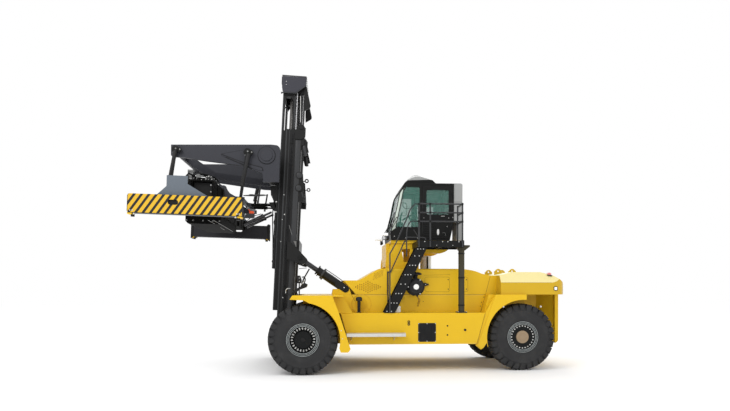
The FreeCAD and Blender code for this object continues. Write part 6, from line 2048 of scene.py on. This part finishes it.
    def front_corner(self) -> None:
        """Valve, hoses and a work lamp on the nose of the left front fender."""
        black = self.start("fender_valves", self.look.plastic)
        hoses = self.start("fender_hoses", self.look.hose)
        clear = self.start("fender_lamps", self.look.clear)
        bright = self.start("fender_pipes", self.look.zinc)
        sign = Side.LEFT.value
        y = sign * 1.2
        black.block((-0.2, y - 0.05, 1.884), (-0.06, y + 0.05, 1.9), 0.003)
        black.block((-0.14, y - 0.024, 1.895), (-0.108, y + 0.024, 2.24), 0.004)
        black.plate([(-0.195, 2.372), (-0.098, 2.372), (-0.06, 2.25), (-0.07, 2.18), (-0.17, 2.18)],
                    Axis.Y, y - 0.055, y + 0.055, 0.006)
        black.plate([(-0.33, 1.925), (-0.2, 2.045), (-0.06, 2.11), (0.02, 2.19), (0.09, 2.15),
                     (0.07, 2.085), (-0.11, 2.02), (-0.23, 1.93)], Axis.Y, y - 0.06, y + 0.06, 0.01)
        black.rod((0.128, y, 2.54), (-0.01, y, 2.3), 0.017, 14)
        black.rod((-0.01, y, 2.3), (-0.08, y, 2.08), 0.02, 14)
        black.rod((-0.13, y, 2.545), (0.06, y, 2.56), 0.007, 10)
        clear.plate([(0.062, 2.086), (0.07, 2.084), (0.1, 2.15), (0.094, 2.156)], Axis.Y, y - 0.05, y + 0.05)
        hoses.tube([(-0.06, y, 2.33), (0.0, y, 2.345), (0.03, y * 0.98, 2.28), (0.01, y * 0.98, 2.2),
                    (-0.04, y, 2.12)], 0.014, 10)
        hoses.tube([(-0.18, y, 2.2), (-0.21, y, 2.1), (-0.2, y, 1.98), (-0.16, y, 1.888)], 0.014, 10)
        bright.tube([(-0.459, y, 1.93), (-0.455, y, 2.01), (-0.425, y, 2.05), (-0.348, y, 2.05)], 0.009, 8)
        black.tube([(-0.459, y, 1.935), (-0.44, y, 1.9), (-0.3, y, 1.89)], 0.01, 8)
        bright.bolts([(-0.12, y + sign * 0.055, 2.23), (-0.12, y + sign * 0.055, 2.31)],
                     (0, sign, 0), 0.007, 0.008)
        bright.rod((-0.075, y + sign * 0.058, 2.14), (0.01, y + sign * 0.058, 2.24), 0.007, 10)


# ------------------------------------------------------------------ spreader


@dataclass
class Spreader(Assembly):
    """Hangers, arm ribs, the hydraulic bank and the fittings of the telescoping beams."""

    hanger_y: float = 1.2875
    arm_y: float = 1.195
    seed: int = 7

    def make(self) -> None:
        """Make the spreader's small parts."""
        self.hangers()
        self.arms()
        self.hydraulics()
        self.levers()
        self.main_frame()
        self.beams()

    def hangers(self) -> None:
        """Damper barrels on the hangers, slim rods below them, and their pins."""
        barrels = self.start("hanger_barrels", self.look.iron, Body.CARRIAGE)
        rods = self.start("hanger_rods", self.look.chrome, Body.CARRIAGE)
        pins = self.start("hanger_pins", self.look.black, Body.CARRIAGE)
        bolts = self.start("hanger_bolts", self.look.dull, Body.CARRIAGE)
        for side in Side:
            sign, y = side.value, side.value * self.hanger_y
            barrels.rod((1.072, y, 1.76), (0.934, y, 0.98), 0.05, 28, soft=0.008)
            barrels.rod((0.94, y, 1.01), (0.93, y, 0.95), 0.056, 28, soft=0.008)
            barrels.rod((-0.7, y, 1.76), (-0.806, y, 1.1), 0.046, 28, soft=0.008)
            rods.rod((0.933, y, 0.96), (0.922, y, 0.7), 0.016, 16)
            for x, z in ((-0.64, 1.79), (1.1, 1.796)):
                for reach in (1.312, 1.32):
                    pins.turn(pin_cap(sign, reach - 0.03, reach - 0.002, reach + 0.004, 0.04, 0.052),
                              Axis.Y, (x - 0.045, 0.0, z), 28)
                pins.plate(rounded((x - 0.15, z - 0.06), (x + 0.08, z + 0.052), 0.04), Axis.Y,
                           sign * 1.262, sign * 1.3, 0.006)
                bolts.bolts([(x - 0.11, sign * 1.3, z + 0.006), (x + 0.05, sign * 1.3, z),
                             (x - 0.045, sign * 1.324, z + 0.01)], (0, sign, 0), 0.012, 0.012)
                bolts.bolts([(x - 0.1, sign * 1.3, z - 0.08)], (0, sign, 0), 0.012, 0.01)

    def arms(self) -> None:
        """Raised wedges, seams, pivot rings and bolts on the arms."""
        wedges = self.start("arm_wedges", self.look.grey, Body.CARRIAGE, self.datum.mast)
        gaps = self.start("arm_seams", self.look.seal, Body.CARRIAGE, self.datum.mast)
        bolts = self.start("arm_bolts", self.look.zinc, Body.CARRIAGE, self.datum.mast)
        for side in Side:
            sign, wall = side.value, side.value * self.arm_y
            wedges.plate([(-1.812, 4.539), (-1.26, 4.364), (-0.802, 4.271), (-0.778, 4.19), (-0.86, 4.19),
                          (-1.26, 4.3), (-1.8, 4.5)], Axis.Y, wall - sign * 0.003, wall + sign * 0.014, 0.003)
            for start, end in (((-1.812, 4.532), (-1.26, 4.358)), ((-1.26, 4.358), (-0.802, 4.266)),
                               ((-0.802, 4.266), (-0.774, 4.19)), ((-1.7, 4.47), (-1.05, 4.235))):
                self.strip(gaps, start, end, wall + sign * 0.013, 0.016, 0.003)
            self.strip(gaps, (-1.812, 4.545), (-1.3, 4.672), wall, 0.005, 0.002)
            gaps.turn([(sign * (self.arm_y - 0.002), 0.209), (sign * (self.arm_y + 0.006), 0.211),
                       (sign * (self.arm_y + 0.006), 0.219), (sign * (self.arm_y - 0.002), 0.221)], Axis.Y,
                      (-0.705, 0.0, 4.576), 64)
            bolts.bolts([(-0.71, wall + sign * 0.004, 4.668)], (0, sign, 0), 0.011, 0.008)

    def hydraulics(self) -> None:
        """Valves, coils, pipes and hoses stacked on the slewing frame."""
        draw = random.Random(self.seed)
        black = self.start("hydraulic_valves", self.look.plastic, Body.CARRIAGE)
        bright = self.start("hydraulic_fittings", self.look.zinc, Body.CARRIAGE)
        hoses = self.start("hydraulic_hoses", self.look.hose, Body.CARRIAGE)
        grey = self.start("hydraulic_boxes", self.look.hump, Body.CARRIAGE)
        for row, y in enumerate((-1.01, -0.88)):
            for index in range(9):
                x = -0.4 + index * 0.072 + row * 0.02
                top = 1.03 + 0.07 * draw.random()
                black.block((x, y - 0.045, 0.94), (x + 0.056, y + 0.045, top), 0.006)
                black.rod((x + 0.028, y, top - 0.01), (x + 0.028, y, top + 0.07), 0.021, 18, soft=0.004)
                bright.rod((x + 0.028, y, top + 0.066), (x + 0.028, y, top + 0.082), 0.01, 8)
                if row == 0:
                    bright.bolts([(x + 0.028, y - 0.045, 0.965), (x + 0.028, y - 0.045, top - 0.022)],
                                 (0, -1, 0), 0.008, 0.009)
                    hoses.tube([(x + 0.028, y - 0.04, 0.985), (x + 0.03, y - 0.09, 0.975),
                                (x + 0.04 + 0.03 * draw.random(), y - 0.1, 0.9),
                                (x + 0.06, y - 0.06, 0.868)], 0.01, 8)
        black.turn([(-0.96, 0.0), (-0.96, 0.085), (-0.94, 0.098), (-0.7, 0.098), (-0.69, 0.07), (-0.56, 0.07),
                    (-0.55, 0.0)], Axis.Y, (0.06, 0.0, 1.15), 36)
        bright.bolts([(0.06 + 0.076 * math.cos(t), -0.958, 1.15 + 0.076 * math.sin(t))
                      for t in turns(8)], (0, -1, 0), 0.007, 0.007)
        black.plate([(0.22, 0.866), (0.205, 1.095), (0.255, 1.11), (0.33, 1.05), (0.45, 0.975), (0.52, 0.88),
                     (0.54, 0.866)], Axis.Y, -0.96, -0.62, 0.01)
        bright.bolts([(0.3, -0.962, 1.02), (0.36, -0.962, 0.95), (0.44, -0.962, 0.93)],
                     (0, -1, 0), 0.01, 0.008)
        for index in range(4):
            y = -0.3 - index * 0.11
            hoses.tube([(-0.42, y, 1.195), (-0.38, y - 0.02, 1.3 + 0.03 * index), (-0.14, y - 0.05, 1.33),
                        (0.08, y, 1.29), (0.18, y + 0.02, 1.15), (0.23, y, 0.95)], 0.013, 10)
        for index in range(5):
            x = -0.455 + index * 0.016
            hoses.tube([(x, -0.99, 0.868), (x - 0.02, -1.0, 1.05), (x - 0.07, -0.98, 1.18 + 0.03 * index),
                        (x - 0.02, -0.9, 1.28), (x + 0.09, -0.8, 1.24), (x + 0.12, -0.76, 1.14)], 0.01, 8)
        grey.block((-0.545, -0.64, 1.19), (-0.4, -0.52, 1.43), 0.01)
        grey.block((-0.33, -0.62, 1.19), (-0.24, -0.52, 1.33), 0.01)
        black.block((-0.548, -0.66, 0.866), (-0.52, -0.5, 1.3), 0.004)
        black.block((-0.43, -0.66, 0.866), (-0.405, -0.5, 1.3), 0.004)
        for z in (1.235, 1.3, 1.365):
            black.block((-0.54, -0.646, z), (-0.405, -0.638, z + 0.012), 0.002)
        places = [(-0.5 + 0.7 * draw.random(), -1.056 - 0.006 * draw.random(), 0.9 + 0.24 * draw.random())
                  for _ in range(16)]
        for x, y, z in places:
            bright.rod((x, y, z), (x, y - 0.014, z), 0.008, 8)
            bright.rod((x, y + 0.03, z), (x, y, z), 0.012, 6)

    def levers(self) -> None:
        """Locking levers, damper collars and a capped fitting ahead of the mast."""
        black = self.start("spreader_levers", self.look.rod, Body.CARRIAGE)
        bright = self.start("spreader_rods", self.look.rod, Body.CARRIAGE)
        orange = self.start("spreader_cap", self.look.orange, Body.CARRIAGE)
        for side in Side:
            y = side.value * 0.8
            black.rod((0.905, y, 0.796), (1.18, y, 0.812), 0.012, 14, 0.026)
            black.rod((1.18, y, 0.812), (1.42, y, 0.826), 0.026, 14, 0.02)
            black.rod((1.42, y, 0.826), (1.5, y, 0.831), 0.02, 14, 0.008)
            black.rod((1.336, y, 1.1), (1.298, y, 0.82), 0.022, 14)
            black.rod((1.298, y, 0.82), (1.274, y, 0.61), 0.02, 14, 0.026, soft=0.005)
            black.rod((1.3, y - 0.032, 0.822), (1.3, y + 0.032, 0.822), 0.034, 20, soft=0.005)
            bright.rod((1.05, y, 0.8045 + 0.026), (1.15, y, 0.8105 + 0.026), 0.006, 8)
        for y in (-0.25, 0.25):
            start, end = Vector((0.86, y, 0.11)), Vector((1.64, y, 0.502))
            black.rod(tuple(start), tuple(start.lerp(end, 0.62)), 0.05, 24, soft=0.006)
            bright.rod(tuple(start.lerp(end, 0.62)), tuple(start.lerp(end, 0.92)), 0.028, 20)
            black.rod(tuple(start.lerp(end, 0.6)), tuple(start.lerp(end, 0.66)), 0.06, 24, soft=0.006)
            black.tube([tuple(start.lerp(end, 0.08) + Vector((0, -0.03, 0.06))),
                        tuple(start.lerp(end, 0.3) + Vector((0, -0.04, 0.11))),
                        tuple(start.lerp(end, 0.58) + Vector((0, -0.02, 0.075)))], 0.01, 8)
        orange.plate(rounded((1.085, 0.33), (1.2, 0.392), 0.018), Axis.Y, -0.96, -0.84, 0.006)
        orange.rod((1.1, -0.9, 0.385), (1.06, -0.9, 0.44), 0.016, 14, soft=0.003)
        black.plate([(0.96, 0.215), (1.2, 0.215), (1.23, 0.3), (1.18, 0.35), (1.02, 0.345)], Axis.Y,
                    -0.95, -0.82, 0.006)
        black.tube([(1.08, -0.9, 0.6), (1.0, -0.92, 0.5), (0.985, -0.9, 0.36)], 0.014, 10)

    def main_frame(self) -> None:
        """Pipes along the top, diagonal pipes below, and bolted joints on the main frame."""
        pipes = self.start("frame_pipes", self.look.dull, Body.SPREADER)
        bolts = self.start("frame_bolts", self.look.dull, Body.SPREADER)
        # The ribs take the near-black underside colour: painted shade.
        black = self.start("frame_ribs", self.look.under, Body.SPREADER)
        for index in range(3):
            pipes.tube([(0.3 + 0.03 * index, -2.3, 0.878), (0.3 + 0.03 * index, 2.3, 0.878)], 0.009, 8, False)
        for x, start, end in ((0.316, -2.15, -1.35), (0.291, -0.45, 0.13), (0.44, -2.15, 0.55)):
            pipes.rod((x, start, -0.006), (x, end, -0.006), 0.006, 8)
        for sign in (-1, 1):
            for x in (-0.4, -0.24, 0.0, 0.24, 0.4):
                bolts.bolts([(x, sign * 1.2, 0.08)], (0, sign, 0), 0.014, 0.012)
            for z in (0.3, 0.45, 0.6, 0.75):
                bolts.bolts([(x, sign * 2.45, z) for x in (-0.42, 0.42)], (0, sign, 0), 0.013, 0.012)
            for x in (-0.47, 0.47):
                for y in (0.7, 1.3, 1.9):
                    far = x + math.copysign(0.012, x)
                    black.block((x, sign * y - 0.03, 0.23), (far, sign * y + 0.03, 0.85), 0.003)

    def beams(self) -> None:
        """Corner shoes, guide flippers and bolts at the ends of both end beams."""
        for body, sign, name in ((Body.NEAR_BEAM, -1, "near"), (Body.FAR_BEAM, 1, "far")):
            shoes = self.start(f"{name}_corner_shoes", self.look.yellow, body)
            bolts = self.start(f"{name}_beam_bolts", self.look.zinc, body)
            hooks = self.start(f"{name}_beam_edges", self.look.seal, body)
            slot = self.start(f"{name}_beam_slot", self.look.seal, body)
            wall = sign * 3.03
            for end in (-1, 1):
                x = end * 1.17
                shoes.block((x - 0.048, wall, -0.03), (x + 0.048, wall - sign * 0.2, 0.001), 0.006)
                bolts.bolts([(x - 0.06 * end, wall, 0.05), (x - 0.01 * end, wall, 0.052)],
                            (0, sign, 0), 0.01, 0.009)
                hooks.block((end * 1.219 - 0.005, sign * 3.026 - 0.006, 0.03),
                            (end * 1.219 + 0.005, sign * 3.026 + 0.004, 0.38), 0.002)
                for start, stop in ((2.815, 2.86), (2.99, 3.034)) if sign > 0 else ():
                    hooks.plate([(end * 1.218, -0.06), (end * 1.15, 0.0), (end * 1.13, 0.42),
                                 (end * 1.17, 0.47), (end * 1.225, 0.46), (end * 1.23, -0.05)],
                                Axis.Y, start, stop, 0.006)
                bolts.rod((x - 0.09 * end, sign * 3.005, -0.034), (x - 0.09 * end, sign * 3.005, 0.0), 0.024,
                          20, soft=0.006)
            self.strip(hooks, (-1.215, 0.004), (1.215, 0.004), wall, 0.01, 0.003)
            bolts.bolts([(0.45, sign * 2.9, 0.854)], (0, 0, 1), 0.012, 0.01)
            slot.block((-0.366, sign * 2.99, 0.204), (-0.154, sign * 3.0, 0.306))


# ------------------------------------------------------------------ counterweight


@dataclass
class Rear(Assembly):
    """Lamps, plates, seams and bolts of the counterweight and tail."""

    side: float = 1.52

    def make(self) -> None:
        """Make the counterweight's small parts."""
        black = self.start("rear_lamp_frames", self.look.plastic)
        red = self.start("rear_lamps", self.look.red)
        clear = self.start("side_lamps", self.look.clear)
        gaps = self.start("rear_slots", self.look.gap)
        bolts = self.start("rear_bolts", self.look.zinc)
        for side in Side:
            sign, wall = side.value, side.value * self.side
            self.border(black, rounded((6.232, 2.0), (6.33, 2.1), 0.022), wall, 0.014, 0.01)
            clear.plate(rounded((6.244, 2.012), (6.318, 2.088), 0.016), Axis.Y, wall - sign * 0.003,
                        wall + sign * 0.006, 0.002)
            red.plate([(6.12, 2.395), (6.205, 2.38), (6.215, 2.425), (6.18, 2.452), (6.135, 2.45)], Axis.Y,
                      sign * 1.3, sign * 1.42, 0.008)
            black.plate([(6.105, 2.38), (6.225, 2.36), (6.225, 2.385), (6.105, 2.402)], Axis.Y, sign * 1.28,
                        sign * 1.44, 0.004)
            for z in (2.12, 1.98):
                red.plate(rounded((sign * 1.06 - 0.1, z - 0.045), (sign * 1.06 + 0.1, z + 0.045), 0.02),
                          Axis.X, 6.596, 6.612, 0.004)
            black.plate(rounded((sign * 1.06 - 0.13, 1.9), (sign * 1.06 + 0.13, 2.2), 0.03), Axis.X, 6.59,
                        6.602, 0.004)
            bolts.bolts([(x, wall, 1.6) for x in (4.95, 5.9)], (0, sign, 0), 0.016, 0.012)
        for index in range(9):
            z = 1.16 + index * 0.062
            gaps.block((6.597, -0.46, z), (6.603, 0.46, z + 0.022), 0.002)
        black.rod((6.56, 0.0, 0.86), (6.64, 0.0, 0.86), 0.05, 32, soft=0.008)
        bolts.rod((6.6, 0.0, 0.98), (6.6, 0.0, 0.74), 0.024, 20, soft=0.004)


# ------------------------------------------------------------------ studio


@dataclass
class Studio:
    """The floor, the lights and the camera."""

    look: Palette
    datum: Datum
    camera_offset: Point = (0.607, -15.87, 2.063)
    yaw: float = -3.55
    lens: float = 28.9
    shift: float = 0.113
    floor_reach: float = 60.0

    def build(self) -> None:
        """Make the studio."""
        scene = bpy.context.scene
        scene.view_settings.view_transform = "Standard"
        floor = bpy.data.meshes.new("floor")
        reach = self.floor_reach
        floor.from_pydata([(-reach, -reach, 0), (reach, -reach, 0), (reach, reach, 0), (-reach, reach, 0)],
                          [], [(0, 1, 2, 3)])
        graph = Graph("pale_floor")
        graph.set("Base Color", (1.0, 1.0, 1.0))
        graph.set("Roughness", 1.0)
        graph.set("Specular IOR Level", 0.0)
        floor.materials.append(graph.material)
        ground = bpy.data.objects.new("floor", floor)
        scene.collection.objects.link(ground)
        world = bpy.data.worlds.new("soft_sky")
        scene.world = world
        world.use_nodes = True
        world.node_tree.nodes["Background"].inputs["Color"].default_value = (1.0, 1.0, 1.0, 1.0)
        world.node_tree.nodes["Background"].inputs["Strength"].default_value = 1.0
        self.lamp("key_light", (-7.5, -11.0, 12.5), (0.0, 0.0, 2.2), 6.0, 760.0)
        self.lamp("fill_light", (10.0, -12.0, 6.0), (1.0, 0.0, 2.0), 7.0, 90.0)
        self.lamp("rim_light", (4.0, 10.0, 12.0), (0.0, 0.0, 2.5), 7.0, 420.0)
        self.camera()

    def lamp(self, name: str, place: Point, target: Point, size: float, power: float) -> None:
        """Hang a soft square lamp.

        Args:
            name: its name.
            place: where it hangs.
            target: what it points at.
            size: its side.
            power: its power, in watts.
        """
        data = bpy.data.lights.new(name, "AREA")
        data.size, data.energy = size, power
        lamp = bpy.data.objects.new(name, data)
        lamp.location = place
        lamp.rotation_euler = (Vector(target) - Vector(place)).to_track_quat("-Z", "Y").to_euler()
        bpy.context.scene.collection.objects.link(lamp)

    def camera(self) -> None:
        """Stand the camera level, a little ahead of the truck's middle."""
        data = bpy.data.cameras.new("camera")
        data.lens, data.sensor_width, data.shift_y = self.lens, 36.0, self.shift
        data.clip_end = 200.0
        camera = bpy.data.objects.new("camera", data)
        x, y, z = self.camera_offset
        camera.location = (self.datum.front_axle.x + x, y, z)
        camera.rotation_euler = (math.radians(90), 0.0, math.radians(self.yaw))
        bpy.context.scene.collection.objects.link(camera)
        bpy.context.scene.camera = camera


def main() -> None:
    """Build the truck's pieces and the studio."""
    logging.basicConfig(level=logging.INFO, format="%(name)s: %(message)s")
    datum = Datum()
    palette = Palette(datum)
    Studio(palette, datum).build()
    for assembly in (Coats, Wheels, Bodywork, Cab, Access, Mast, Spreader, Rear):
        assembly(palette, datum).build()


if __name__ == "__main__":
    main()
